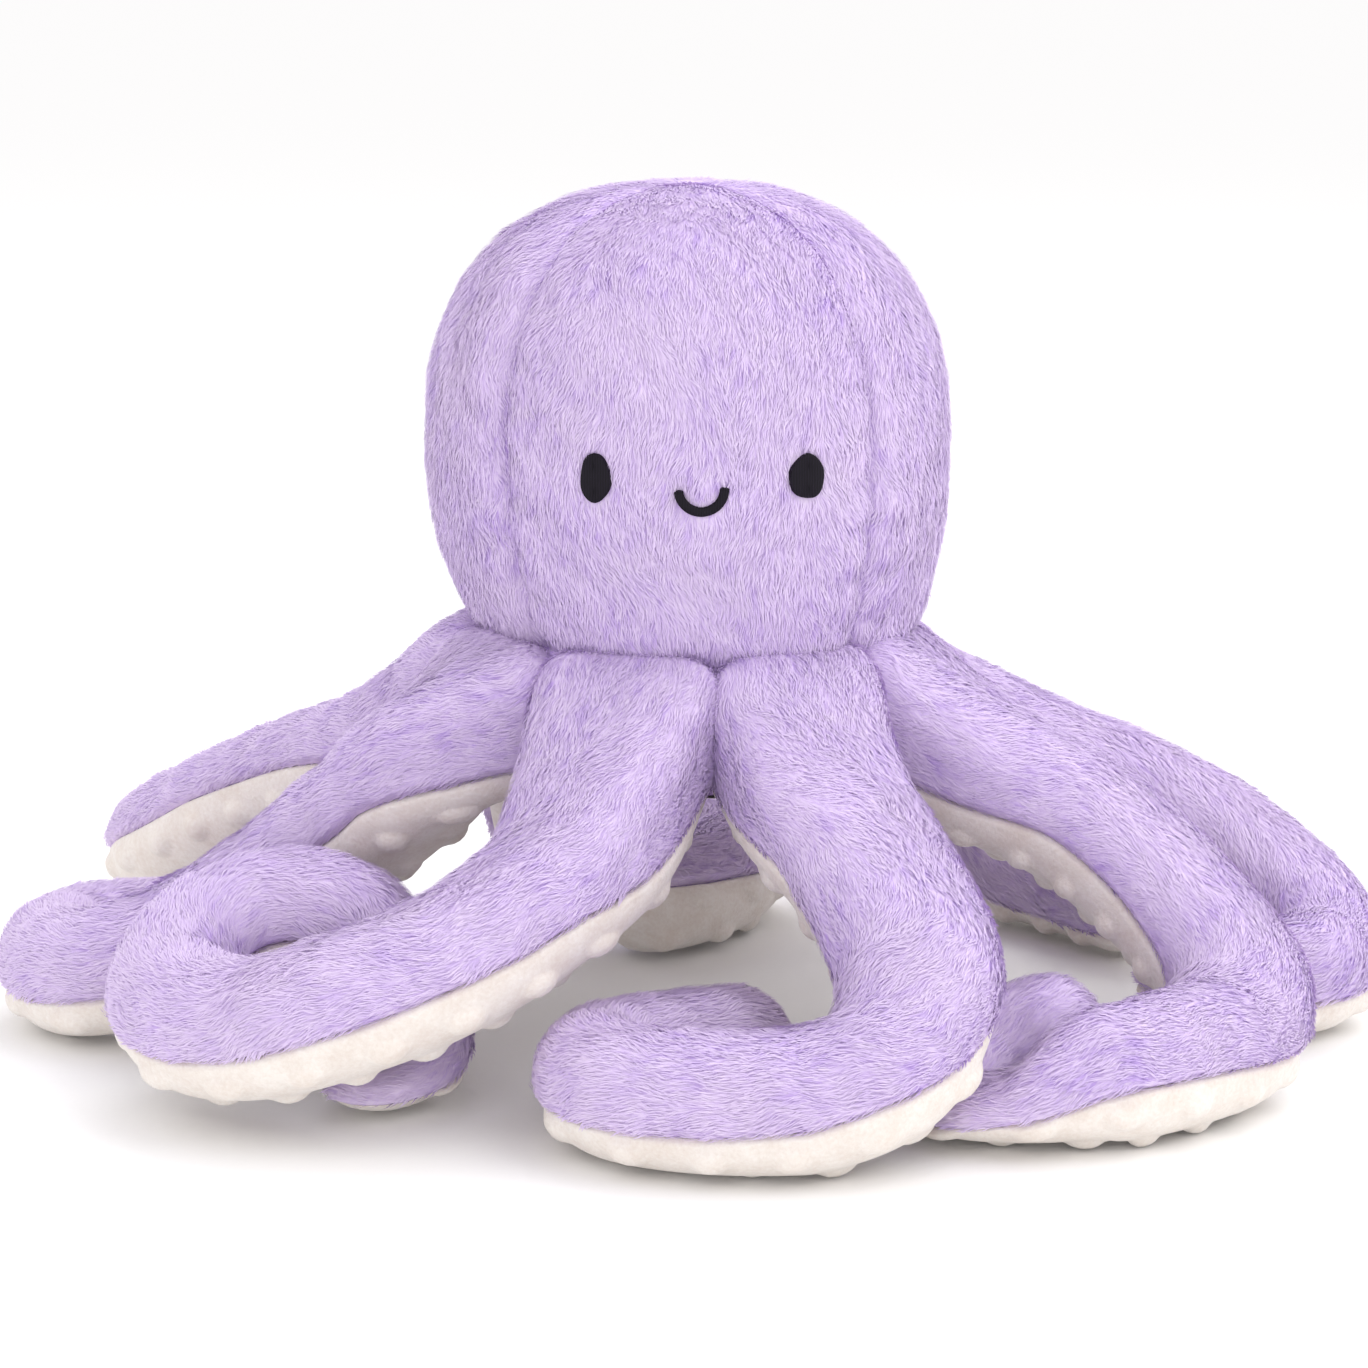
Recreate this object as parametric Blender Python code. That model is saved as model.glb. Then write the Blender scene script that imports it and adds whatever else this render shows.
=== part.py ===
"""A plush octopus, sewn from long-pile fabric on top and dotted fabric underneath.

Metres, +Z up. The face looks along -Y, and +X is the viewer's right, so left and right are
the viewer's. The finished toy stands on z = 0, with its outline centred on the origin.
"""

import math

import bmesh
import bpy
import numpy as np
from mathutils import Vector

# Head: four gores over one filling.
HEAD_WIDTH = 0.1970
HEAD_DEPTH = 0.1900
WIDEST_LEVEL = 0.2280
CROWN_RISE = 0.0960
LOWER_DROP = 0.1090
NECK_LEVEL = 0.1570
HEAD_ROUNDNESS = 2.40
HEAD_OFFSET = 0.0014
HEAD_LEAN = 0.0036
GORE_COUNT = 4
GORE_COLUMNS = 8
HEAD_ROWS = 12
SEAM_DIP = 0.0032
CROWN_HOLE = 0.0040

# Fabric: backing and the dense part of the pile, as one thickness.
PILE_THICKNESS = 0.0050
UNDERSIDE_THICKNESS = 0.0030
SEWN_GAP = 0.0003
SIDE_SEAM_GAP = 0.0010
GORE_GAP = 0.0004

# Face: embroidered patches let into the face gore, raised a little above it.
EYE_WIDTH = 0.0130
EYE_HEIGHT = 0.0178
EYE_SPACING = 0.0750
EYE_LEVEL = 0.2248
MOUTH_CENTRE = 0.0065
MOUTH_WIDTH = 0.0163
MOUTH_SAG = 0.0074
MOUTH_LEVEL = 0.2172
MOUTH_LINE = 0.0034
PATCH_DEPTH = 0.0026
PATCH_RISE = 0.0006
PATCH_MARGIN = 0.0004
EYE_STEPS = 20
MOUTH_STEPS = 10

# Body: an eight-sided continuation of the filling, whose sides carry the arms.
ARM_COUNT = 8
BODY_TURN = 8.0
BODY_APOTHEM = 0.0820
CORNER_SHARE = 1.035
HINGE_LEVEL = 0.1555
BELLY_LEVEL = 0.1010
BELLY_DIP = 0.0070
DROOP_ANGLE = math.radians(24.0)

# Arms: width, height and taper.
ARM_REACH = 0.250
ROOT_WIDTH = 0.0660
ROOT_HEIGHT = 0.0560
SHAFT_WIDTH = 0.0660
SHAFT_HEIGHT = 0.0560
CURL_WIDTH = 0.0510
CURL_HEIGHT = 0.0530
TIP_WIDTH = 0.0430
TIP_HEIGHT = 0.0480
TIP_ROUNDING = 0.0210
TIP_OPENING = 0.04
TIP_STEP_SHARES = (0.52, 0.20, 0.0)
CORE_SHARE = 0.2
LYING_SHARE = 0.93
SEAM_RUN = 0.080
ARM_ROUNDNESS = 2.2
ROOT_ROUNDNESS = 5.0
STATION_STEP = 0.0150
TOP_COLUMNS = 6
UNDERSIDE_COLUMNS = 5
SEAM_TURN = math.radians(-12.0)
ROUTE_STEPS = 24

LILAC = (0.639, 0.527, 0.831, 1.0)
CREAM = (0.807, 0.768, 0.723, 1.0)
BLACK = (0.021, 0.014, 0.026, 1.0)
WHITE = (0.880, 0.880, 0.860, 1.0)
FABRIC_ROUGHNESS = 0.95
THREAD_ROUGHNESS = 0.60

# Each arm's middle line from its root: shares of the reach to the right and away from the
# viewer, the share of the way from lying flat up to the root's level, the roll in degrees,
# and the share of its full height that an arm keeps where another one lies on it.
ARM_ROUTE_SHARES = {
    "front_left": [
        (-0.144, -0.458, 0.64, -12, 1.00),
        (-0.244, -0.548, 0.45, -16, 1.00),
        (-0.356, -0.604, 0.32, -16, 1.00),
        (-0.480, -0.628, 0.22, -10, 1.00),
        (-0.588, -0.608, 0.14, -4, 1.00),
        (-0.680, -0.552, 0.11, 0, 1.00),
        (-0.732, -0.456, 0.15, 0, 1.00),
        (-0.700, -0.364, 0.26, 0, 1.00),
        (-0.600, -0.332, 0.36, 0, 1.00),
        (-0.488, -0.332, 0.34, 0, 0.95),
        (-0.412, -0.360, 0.16, 0, 0.76),
        (-0.388, -0.428, 0.03, 0, 0.60),
        (-0.440, -0.492, 0.00, 0, 0.48),
        (-0.520, -0.508, 0.00, 0, 0.44),
    ],
    "front_right": [
        (0.192, -0.392, 0.80, 0, 1.00),
        (0.252, -0.464, 0.62, 0, 1.00),
        (0.300, -0.548, 0.46, 0, 1.00),
        (0.328, -0.640, 0.30, -8, 1.00),
        (0.280, -0.728, 0.10, -14, 1.00),
        (0.160, -0.756, 0.00, -8, 1.00),
        (0.024, -0.752, 0.00, 0, 1.00),
        (-0.088, -0.700, 0.00, 0, 1.00),
        (-0.120, -0.604, 0.00, 0, 1.00),
        (-0.044, -0.516, 0.00, 0, 1.00),
        (0.072, -0.476, 0.00, 0, 1.00),
        (0.160, -0.476, 0.00, 0, 1.00),
    ],
    "left_front": [
        (-0.360, -0.164, 0.84, -4, 1.00),
        (-0.468, -0.120, 0.59, -12, 1.00),
        (-0.588, -0.084, 0.35, -14, 1.00),
        (-0.696, -0.116, 0.18, -10, 1.00),
        (-0.824, -0.164, 0.06, 0, 1.00),
        (-0.936, -0.128, 0.00, 0, 1.00),
        (-0.972, -0.020, 0.00, 0, 1.00),
        (-0.924, 0.080, 0.00, 0, 1.00),
        (-0.824, 0.120, 0.00, 0, 1.00),
        (-0.728, 0.088, 0.00, 0, 1.00),
    ],
    "left_back": [
        (-0.448, 0.164, 0.67, -18, 1.00),
        (-0.600, 0.268, 0.49, -32, 1.00),
        (-0.752, 0.376, 0.30, -36, 1.00),
        (-0.868, 0.488, 0.13, -26, 1.00),
        (-0.896, 0.624, 0.02, -10, 1.00),
        (-0.808, 0.724, 0.00, 0, 1.00),
        (-0.680, 0.728, 0.00, 0, 1.00),
        (-0.584, 0.640, 0.00, 0, 1.00),
    ],
    "back_left": [
        (-0.200, 0.392, 0.72, 0, 1.00),
        (-0.224, 0.496, 0.38, 6, 1.00),
        (-0.204, 0.608, 0.08, 20, 1.00),
        (-0.108, 0.688, 0.00, 38, 1.00),
        (0.016, 0.676, 0.00, 30, 1.00),
        (0.092, 0.584, 0.00, 0, 1.00),
        (0.064, 0.448, 0.00, -32, 1.00),
        (-0.016, 0.340, 0.00, -48, 1.00),
        (-0.092, 0.308, 0.00, -52, 1.00),
        (-0.152, 0.312, 0.00, -52, 1.00),
    ],
    "back_right": [
        (0.148, 0.432, 0.86, 0, 1.00),
        (0.264, 0.536, 0.58, 0, 1.00),
        (0.400, 0.584, 0.22, -6, 1.00),
        (0.528, 0.548, 0.03, -16, 1.00),
        (0.628, 0.448, 0.00, -22, 1.00),
        (0.704, 0.336, 0.00, -22, 1.00),
        (0.760, 0.232, 0.00, -22, 1.00),
    ],
    "right_back": [
        (0.432, 0.208, 0.75, 0, 1.00),
        (0.592, 0.196, 0.58, 0, 1.00),
        (0.728, 0.180, 0.46, 0, 1.00),
        (0.860, 0.140, 0.30, 0, 1.00),
        (0.964, 0.064, 0.13, 0, 1.00),
        (0.996, -0.032, 0.03, 0, 1.00),
        (0.960, -0.112, 0.00, 0, 1.00),
        (0.876, -0.140, 0.00, 0, 1.00),
        (0.788, -0.108, 0.00, 0, 1.00),
        (0.736, -0.020, 0.00, 0, 1.00),
    ],
    "right_front": [
        (0.448, -0.144, 0.77, 4, 1.00),
        (0.608, -0.204, 0.57, 12, 1.00),
        (0.732, -0.280, 0.32, 14, 1.00),
        (0.804, -0.372, 0.11, 6, 1.00),
        (0.780, -0.476, 0.00, -8, 1.00),
        (0.692, -0.568, 0.00, -18, 1.00),
        (0.588, -0.628, 0.00, -18, 1.00),
        (0.480, -0.640, 0.00, -10, 0.62),
        (0.392, -0.604, 0.00, 0, 0.50),
        (0.360, -0.516, 0.00, 0, 0.52),
        (0.424, -0.432, 0.00, 0, 0.75),
        (0.536, -0.408, 0.00, 0, 1.00),
        (0.616, -0.412, 0.00, 0, 1.00),
    ],
}
ARM_NAMES = list(ARM_ROUTE_SHARES)
ARM_HEADING = {
    "front_left": BODY_TURN - 22.5,
    "front_right": BODY_TURN + 22.5,
    "right_front": BODY_TURN + 67.5,
    "right_back": BODY_TURN + 112.5,
    "back_right": BODY_TURN + 157.5,
    "back_left": BODY_TURN - 157.5,
    "left_back": BODY_TURN - 112.5,
    "left_front": BODY_TURN - 67.5,
}


def clear_scene():
    """Takes out what the file held before."""
    for old in list(bpy.data.objects):
        bpy.data.objects.remove(old)


def material(name, colour, roughness):
    """A plain Principled material in the part's own colour."""
    made = bpy.data.materials.new(name)
    made.use_nodes = True
    shader = made.node_tree.nodes["Principled BSDF"]
    shader.inputs["Base Color"].default_value = colour
    shader.inputs["Roughness"].default_value = roughness
    shader.inputs["Metallic"].default_value = 0.0
    made.diffuse_color = colour
    return made


def mesh_object(name, points, faces, surface, hinge=(0.0, 0.0, 0.0)):
    """One named object from points and faces, facing outwards, with its origin at hinge."""
    mesh = bpy.data.meshes.new(name)
    start = Vector(hinge)
    mesh.from_pydata([Vector(p) - start for p in points], [], faces)
    shape = bmesh.new()
    shape.from_mesh(mesh)
    bmesh.ops.recalc_face_normals(shape, faces=shape.faces)
    shape.to_mesh(mesh)
    shape.free()
    mesh.materials.append(surface)
    mesh.shade_smooth()
    made = bpy.data.objects.new(name, mesh)
    made.location = start
    bpy.context.scene.collection.objects.link(made)
    return made


def heading_vector(heading):
    """The level direction at an angle from the viewer's side, positive to the right."""
    turn = math.radians(heading)
    return np.array([math.sin(turn), -math.cos(turn), 0.0])


def head_radius_share(level):
    """The share of the head's half width at a level, from a squarish ellipse."""
    rise = CROWN_RISE if level > WIDEST_LEVEL else LOWER_DROP
    part = min(abs(level - WIDEST_LEVEL) / rise, 1.0)
    return (1.0 - part**HEAD_ROUNDNESS) ** (1.0 / HEAD_ROUNDNESS)


def head_middle(level):
    """How far right the head's middle lies: a fixed offset, and a lean that grows to the neck."""
    below = max(WIDEST_LEVEL - level, 0.0) / (WIDEST_LEVEL - NECK_LEVEL)
    return HEAD_OFFSET + HEAD_LEAN * below**2


def head_point(turn, level, inset, dip):
    """A point of the head's surface, moved in by inset, and by dip where a seam draws it in."""
    share = head_radius_share(level)
    across = (HEAD_WIDTH / 2 - inset) * share - dip * share
    deep = (HEAD_DEPTH / 2 - inset) * share - dip * share
    return (across * math.sin(turn), -deep * math.cos(turn))


def head_levels(inset):
    """Levels from the neck to the crown, closer together near the crown."""
    height = WIDEST_LEVEL + CROWN_RISE - inset - NECK_LEVEL
    turns = [row / (HEAD_ROWS - 1) * math.pi / 2 for row in range(HEAD_ROWS)]
    return [NECK_LEVEL + math.sin(turn) * height for turn in turns]


def make_gore(name, heading, surface):
    """One head panel: a curved shell between two upright seams and the neck seam."""
    half = math.pi / GORE_COUNT
    outer, inner = [], []
    for skin, inset in ((outer, 0.0), (inner, PILE_THICKNESS)):
        for level_outer, level in zip(head_levels(0.0), head_levels(inset)):
            radius = max(HEAD_WIDTH / 2 * head_radius_share(level_outer), CROWN_HOLE)
            edge = half - GORE_GAP / 2 / radius
            row = []
            for column in range(GORE_COLUMNS + 1):
                across = -1.0 + 2.0 * column / GORE_COLUMNS
                turn = math.radians(heading) + edge * across
                at_seam = column in (0, GORE_COLUMNS)
                x, y = head_point(turn, level_outer, inset, SEAM_DIP if at_seam else 0.0)
                if math.hypot(x, y) < CROWN_HOLE:
                    x = CROWN_HOLE * math.sin(turn)
                    y = -CROWN_HOLE * math.cos(turn)
                row.append((x + head_middle(level_outer), y, level))
            skin.append(row)
    return shell_object(name, outer, inner, surface)


def face_place(x, level):
    """The point on the front of the head at x and level, and the way that faces out there."""
    share = head_radius_share(level)
    turn = math.asin((x - head_middle(level)) / (HEAD_WIDTH / 2 * share))
    point = np.array([x, -HEAD_DEPTH / 2 * share * math.cos(turn), level])
    rise = CROWN_RISE if level > WIDEST_LEVEL else LOWER_DROP
    part = (level - WIDEST_LEVEL) / rise
    slope = abs(part) ** (HEAD_ROUNDNESS - 1) * share ** (1 - HEAD_ROUNDNESS)
    out = np.array(
        [
            math.sin(turn) / (HEAD_WIDTH / 2),
            -math.cos(turn) / (HEAD_DEPTH / 2),
            math.copysign(slope / rise, part),
        ]
    )
    return point, out / np.linalg.norm(out)


def patch_prism(name, outline, place, depth, rise, surface):
    """A prism whose outline lies across the way out at place, from depth inside to rise."""
    point, out = place
    side = np.cross((0.0, 0.0, 1.0), out)
    side /= np.linalg.norm(side)
    up = np.cross(out, side)
    points = []
    for level in (-depth, rise):
        for across, above in outline:
            points.append(point + across * side + above * up + level * out)
    count = len(outline)
    faces = [list(range(count)), [count + k for k in range(count)]]
    for k in range(count):
        after = (k + 1) % count
        faces.append([k, after, count + after, count + k])
    return mesh_object(name, points, faces, surface)


def eye_outline(grow):
    """An upright oval, larger by grow all round."""
    turns = [2 * math.pi * k / EYE_STEPS for k in range(EYE_STEPS)]
    wide = EYE_WIDTH / 2 + grow
    high = EYE_HEIGHT / 2 + grow
    return [(wide * math.cos(t), high * math.sin(t)) for t in turns]


def mouth_outline(grow):
    """A smile: a band of even width along a shallow arc, larger by grow all round."""
    half = MOUTH_WIDTH / 2
    radius = (half**2 + MOUTH_SAG**2) / (2 * MOUTH_SAG)
    spread = math.asin(min(half / radius, 1.0))
    line = MOUTH_LINE / 2 + grow
    end = spread + grow / radius
    upper, lower = [], []
    for k in range(MOUTH_STEPS + 1):
        turn = -end + 2 * end * k / MOUTH_STEPS
        for row, reach in ((upper, radius - line), (lower, radius + line)):
            row.append((reach * math.sin(turn), radius - MOUTH_SAG / 2 - reach * math.cos(turn)))
    return lower + upper[::-1]


def make_face(panel, black):
    """The eyes and mouth: recesses cut in the face gore and a patch seated in each."""
    half = EYE_SPACING / 2
    patches = [
        ("left_eye", eye_outline, MOUTH_CENTRE - half, EYE_LEVEL),
        ("right_eye", eye_outline, MOUTH_CENTRE + half, EYE_LEVEL),
        ("mouth", mouth_outline, MOUTH_CENTRE, MOUTH_LEVEL),
    ]
    for name, outline, x, level in patches:
        place = face_place(x, level)
        cutter = patch_prism(
            f"{name}_cutter", outline(PATCH_MARGIN), place, PATCH_DEPTH, PILE_THICKNESS, black
        )
        cut = panel.modifiers.new(name, "BOOLEAN")
        cut.operation = "DIFFERENCE"
        cut.solver = "EXACT"
        cut.object = cutter
        cutter.hide_render = True
        cutter.display_type = "WIRE"
        patch_prism(name, outline(0.0), place, PATCH_DEPTH - SEWN_GAP, PATCH_RISE, black)


def shell_object(name, outer, inner, surface, hinge=(0.0, 0.0, 0.0)):
    """A closed shell from two grids of the same shape, joined round their rims."""
    rows, columns = len(outer), len(outer[0])
    points = [p for row in outer for p in row] + [p for row in inner for p in row]
    half = rows * columns

    def at(side, row, column):
        return side * half + row * columns + column

    faces = []
    for row in range(rows - 1):
        for column in range(columns - 1):
            here, far = (row, column), (row + 1, column + 1)
            for corner in ([here, (row, column + 1), far], [here, far, (row + 1, column)]):
                faces.append([at(0, *c) for c in corner])
                faces.append([at(1, *c) for c in reversed(corner)])
    rim = [(0, c) for c in range(columns)]
    rim += [(r, columns - 1) for r in range(1, rows)]
    rim += [(rows - 1, c) for c in range(columns - 2, -1, -1)]
    rim += [(r, 0) for r in range(rows - 2, 0, -1)]
    for here, after in zip(rim, rim[1:] + rim[:1]):
        corners = [at(0, *here), at(1, *here), at(1, *after), at(0, *after)]
        if here > after:
            corners = corners[1:] + corners[:1]
        faces.append([corners[0], corners[1], corners[2]])
        faces.append([corners[0], corners[2], corners[3]])
    return mesh_object(name, points, faces, surface, hinge)


def smooth_route(points):
    """Points at even steps along a smooth curve through the given points."""
    points = np.array(points)
    line = np.vstack([2 * points[0] - points[1], points, 2 * points[-1] - points[-2]])
    dense = []
    for a, b, c, d in zip(line, line[1:], line[2:], line[3:]):
        for t in np.linspace(0.0, 1.0, ROUTE_STEPS, endpoint=False):
            bend = 2 * a - 5 * b + 4 * c - d
            twist = 3 * b - a - 3 * c + d
            dense.append((2 * b + (c - a) * t + bend * t**2 + twist * t**3) / 2)
    dense.append(line[-2])
    dense = np.array(dense)
    flat = dense[:, :2] * ARM_REACH
    level = dense[:, 2:3] * (HINGE_LEVEL - ROOT_HEIGHT)
    steps = np.linalg.norm(np.diff(np.hstack([flat, level]), axis=0), axis=1)
    along = np.concatenate([[0.0], np.cumsum(steps)])
    straight = along[-1] - TIP_ROUNDING
    at = list(np.linspace(0.0, straight, round(straight / STATION_STEP) + 1))
    at += [along[-1] - left * TIP_ROUNDING for left in TIP_STEP_SHARES]
    shares = [np.interp(at, along, dense[:, k]) for k in range(dense.shape[1])]
    return np.stack(shares, axis=1), at


def arm_section(along, length):
    """Half width, half height, tip rounding and roundness at a distance from the root."""
    shares = [0.0, 0.20, 0.58, 0.88, 1.0]
    widths = [ROOT_WIDTH, SHAFT_WIDTH, CURL_WIDTH, TIP_WIDTH, TIP_WIDTH]
    heights = [ROOT_HEIGHT, SHAFT_HEIGHT, CURL_HEIGHT, TIP_HEIGHT, TIP_HEIGHT]
    part = along / length
    left = max(length - along, 0.0)
    rounding = 1.0
    if left < TIP_ROUNDING:
        rounding = math.sqrt(max(1.0 - (1.0 - left / TIP_ROUNDING) ** 2, TIP_OPENING))
    width = float(np.interp(part, shares, widths))
    height = float(np.interp(part, shares, heights))
    roundness = float(np.interp(part, shares[:2], [ROOT_ROUNDNESS, ARM_ROUNDNESS]))
    return width / 2, height / 2, rounding, roundness


def hinge_place(name):
    """The top edge of the arm's root, where its seam to the head bends."""
    out = heading_vector(ARM_HEADING[name])
    return (BODY_APOTHEM + SEWN_GAP) * out + np.array([0.0, 0.0, HINGE_LEVEL])


def arm_frames(name):
    """For each station: its middle, the sideways and upward directions and the half sizes."""
    out = heading_vector(ARM_HEADING[name])
    lean = math.sin(DROOP_ANGLE) * out + np.array([0.0, 0.0, math.cos(DROOP_ANGLE)])
    root = hinge_place(name) - ROOT_HEIGHT / 2 * lean
    start = [(root[0] / ARM_REACH, root[1] / ARM_REACH, 1.0, 0.0, 1.0)]
    line, along = smooth_route(start + ARM_ROUTE_SHARES[name])
    sizes = [arm_section(at, along[-1]) for at in along]
    middle, halves = [], []
    for (right, away, rise, _, kept), (wide, high, rounding, roundness) in zip(line, sizes):
        high *= min(kept, 1.0)
        rest = LYING_SHARE * high
        level = rest + max(rise, 0.0) * (root[2] - rest)
        middle.append((right * ARM_REACH, away * ARM_REACH, level))
        halves.append((wide * rounding, high * rounding, roundness))
    middle = np.array(middle)
    ahead = np.gradient(middle, axis=0)
    ahead[0] = np.cross(np.cross(lean, out), lean)
    ahead /= np.linalg.norm(ahead, axis=1)[:, None]
    frames = []
    for point, way, route, sizes, at in zip(middle, ahead, line, halves, along):
        side = np.cross(way, (0.0, 0.0, 1.0))
        side /= np.linalg.norm(side)
        up = np.cross(side, way)
        roll = math.radians(route[3])
        turned_side = math.cos(roll) * side + math.sin(roll) * up
        turned_up = math.cos(roll) * up - math.sin(roll) * side
        frames.append((point, turned_side, turned_up, *sizes, out, at < SEAM_RUN))
    return frames


def ring_point(frame, angle, inset, floor):
    """A point of the arm's outline, moved in by inset, above the floor and in its own sector."""
    point, side, up, wide, high, roundness, out, sewn = frame
    c, s = math.cos(angle), math.sin(angle)
    power = 2.0 / roundness
    kept = max(1.0 - inset / min(wide, high), CORE_SHARE)
    across = math.copysign(abs(c) ** power, c) * wide * kept
    rise = math.copysign(abs(s) ** power, s) * high * kept
    placed = point + across * side + rise * up
    placed[2] = max(placed[2], floor)
    if sewn:
        beside = np.array([-out[1], out[0], 0.0])
        room = (placed @ out) * math.tan(math.pi / ARM_COUNT) - (SEWN_GAP + inset)
        off = placed @ beside
        placed = placed + (max(min(off, room), -room) - off) * beside
    return tuple(placed)


def arm_grid(frames, first, last, columns, inset, floor):
    """Rows of points round part of the arm's outline, with the side seams' gap left out."""
    rows = []
    for frame in frames:
        gap = SIDE_SEAM_GAP / 2 / min(frame[3], frame[4])
        start, span = first + gap, last - first - 2 * gap
        angles = [start + span * column / columns for column in range(columns + 1)]
        rows.append([ring_point(frame, angle, inset, floor) for angle in angles])
    return rows


def make_arm(name, lilac, cream, white):
    """One arm: a pile top, a dotted underside and the filling between them."""
    frames = arm_frames(name)
    hinge = hinge_place(name)
    start, end = SEAM_TURN, math.pi - SEAM_TURN
    outer = arm_grid(frames, start, end, TOP_COLUMNS, 0.0, 0.0)
    inner = arm_grid(frames, start, end, TOP_COLUMNS, PILE_THICKNESS, 0.0)
    shell_object(f"{name}_arm_top", outer, inner, lilac, hinge)
    start, end = math.pi - SEAM_TURN, 2 * math.pi + SEAM_TURN
    thick = UNDERSIDE_THICKNESS
    outer = arm_grid(frames, start, end, UNDERSIDE_COLUMNS, 0.0, 0.0)
    inner = arm_grid(frames, start, end, UNDERSIDE_COLUMNS, thick, thick)
    shell_object(f"{name}_arm_underside", outer, inner, cream, hinge)
    make_arm_filling(name, frames, white, hinge)


def ring_faces(rows, count):
    """Faces between rings of count points each."""
    faces = []
    for row in range(rows - 1):
        for c in range(count):
            after = (c + 1) % count
            low, high = row * count, (row + 1) * count
            faces.append([low + c, low + after, high + after])
            faces.append([low + c, high + after, high + c])
    return faces


def make_arm_filling(name, frames, white, hinge):
    """The arm's stuffing: a closed tube just inside both fabrics."""
    inset = PILE_THICKNESS + SEWN_GAP
    floor = UNDERSIDE_THICKNESS + SEWN_GAP
    top_span = math.pi - 2 * SEAM_TURN
    low_span = math.pi + 2 * SEAM_TURN
    angles = [SEAM_TURN + top_span * c / TOP_COLUMNS for c in range(TOP_COLUMNS)]
    angles += [
        math.pi - SEAM_TURN + low_span * c / UNDERSIDE_COLUMNS for c in range(UNDERSIDE_COLUMNS)
    ]
    points = [ring_point(f, a, inset, floor) for f in frames[:-1] for a in angles]
    rows, count = len(frames) - 1, len(angles)
    faces = ring_faces(rows, count)
    faces.append(list(range(count)))
    faces.append([(rows - 1) * count + c for c in range(count)])
    mesh_object(f"{name}_arm_filling", points, faces, white, hinge)


def body_ring(level, inset):
    """The eight-sided outline of the body at a level, as the same count of points as the head."""
    columns = GORE_COUNT * GORE_COLUMNS
    drop = HINGE_LEVEL - level
    apothem = BODY_APOTHEM - max(drop, 0.0) * math.tan(DROOP_ANGLE) - inset
    side = 2 * math.pi / ARM_COUNT
    ring = []
    for c in range(columns):
        turn = math.radians(BODY_TURN) + 2 * math.pi * c / columns - math.pi / GORE_COUNT
        radius = apothem / math.cos((2 * math.pi * c / columns) % side - side / 2)
        radius = min(radius, apothem * CORNER_SHARE)
        ring.append((radius * math.sin(turn), -radius * math.cos(turn), level))
    return ring


def make_filling(white):
    """The stuffing of head and body: round above the neck and eight-sided below it."""
    columns = GORE_COUNT * GORE_COLUMNS
    inset = PILE_THICKNESS + SEWN_GAP
    points = body_ring(BELLY_LEVEL, 0.0) + body_ring(HINGE_LEVEL, 0.0)
    for level_outer, level in zip(head_levels(0.0)[:-1], head_levels(inset)[:-1]):
        for c in range(columns):
            turn = 2 * math.pi * c / columns - math.pi / GORE_COUNT
            at_seam = c % GORE_COLUMNS == 0
            x, y = head_point(turn, level_outer, inset, SEAM_DIP if at_seam else 0.0)
            points.append((x + head_middle(level_outer), y, level))
    rows = len(points) // columns
    faces = ring_faces(rows, columns)
    last = (rows - 1) * columns
    points.append((HEAD_OFFSET, 0.0, head_levels(inset)[-1]))
    points.append((0.0, 0.0, BELLY_LEVEL - BELLY_DIP))
    for c in range(columns):
        after = (c + 1) % columns
        faces.append([last + c, last + after, len(points) - 2])
        faces.append([after, c, len(points) - 1])
    mesh_object("head_and_body_filling", points, faces, white)


def make_belly(cream):
    """The dotted panel that closes the body between the arms' undersides."""
    columns = GORE_COUNT * GORE_COLUMNS
    thick = UNDERSIDE_THICKNESS
    points = []
    for level in (BELLY_LEVEL - SEWN_GAP, BELLY_LEVEL - SEWN_GAP - thick):
        points += body_ring(level, 0.0)
        points.append((0.0, 0.0, level - BELLY_DIP))
    under = columns + 1
    faces = []
    for c in range(columns):
        after = (c + 1) % columns
        faces.append([c, after, columns])
        faces.append([under + after, under + c, under + columns])
        faces.append([c, under + c, under + after, after])
    mesh_object("belly_panel", points, faces, cream)


def settle_outline():
    """Moves everything level so that the outline is centred on the origin."""
    bpy.context.view_layer.update()
    found = [o for o in bpy.context.scene.objects if not o.hide_render]
    corners = np.array([o.matrix_world @ v.co for o in found for v in o.data.vertices])
    middle = (corners.min(axis=0) + corners.max(axis=0)) / 2
    for made in bpy.context.scene.objects:
        made.location.x -= middle[0]
        made.location.y -= middle[1]
    bpy.context.view_layer.update()


def main():
    clear_scene()
    lilac = material("lilac_pile", LILAC, FABRIC_ROUGHNESS)
    cream = material("dotted_underside", CREAM, FABRIC_ROUGHNESS)
    white = material("polyester_filling", WHITE, FABRIC_ROUGHNESS)
    black = material("embroidery", BLACK, THREAD_ROUGHNESS)
    face = make_gore("head_front_panel", 0, lilac)
    make_gore("head_right_panel", 90, lilac)
    make_gore("head_back_panel", 180, lilac)
    make_gore("head_left_panel", -90, lilac)
    make_face(face, black)
    make_filling(white)
    make_belly(cream)
    for name in ARM_NAMES:
        make_arm(name, lilac, cream, white)
    settle_outline()


main()
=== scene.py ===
"""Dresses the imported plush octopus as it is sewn: long lilac pile on the head and on the tops
of eight arms, cream fabric with raised dots underneath, and a face in black satin stitch.

Metres, +Z up, face towards -Y. Every surface is worked out with numpy from the same widths,
heights and arm routes as the frame, so each piece lies where its solid does.
"""

import functools
import math

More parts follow.
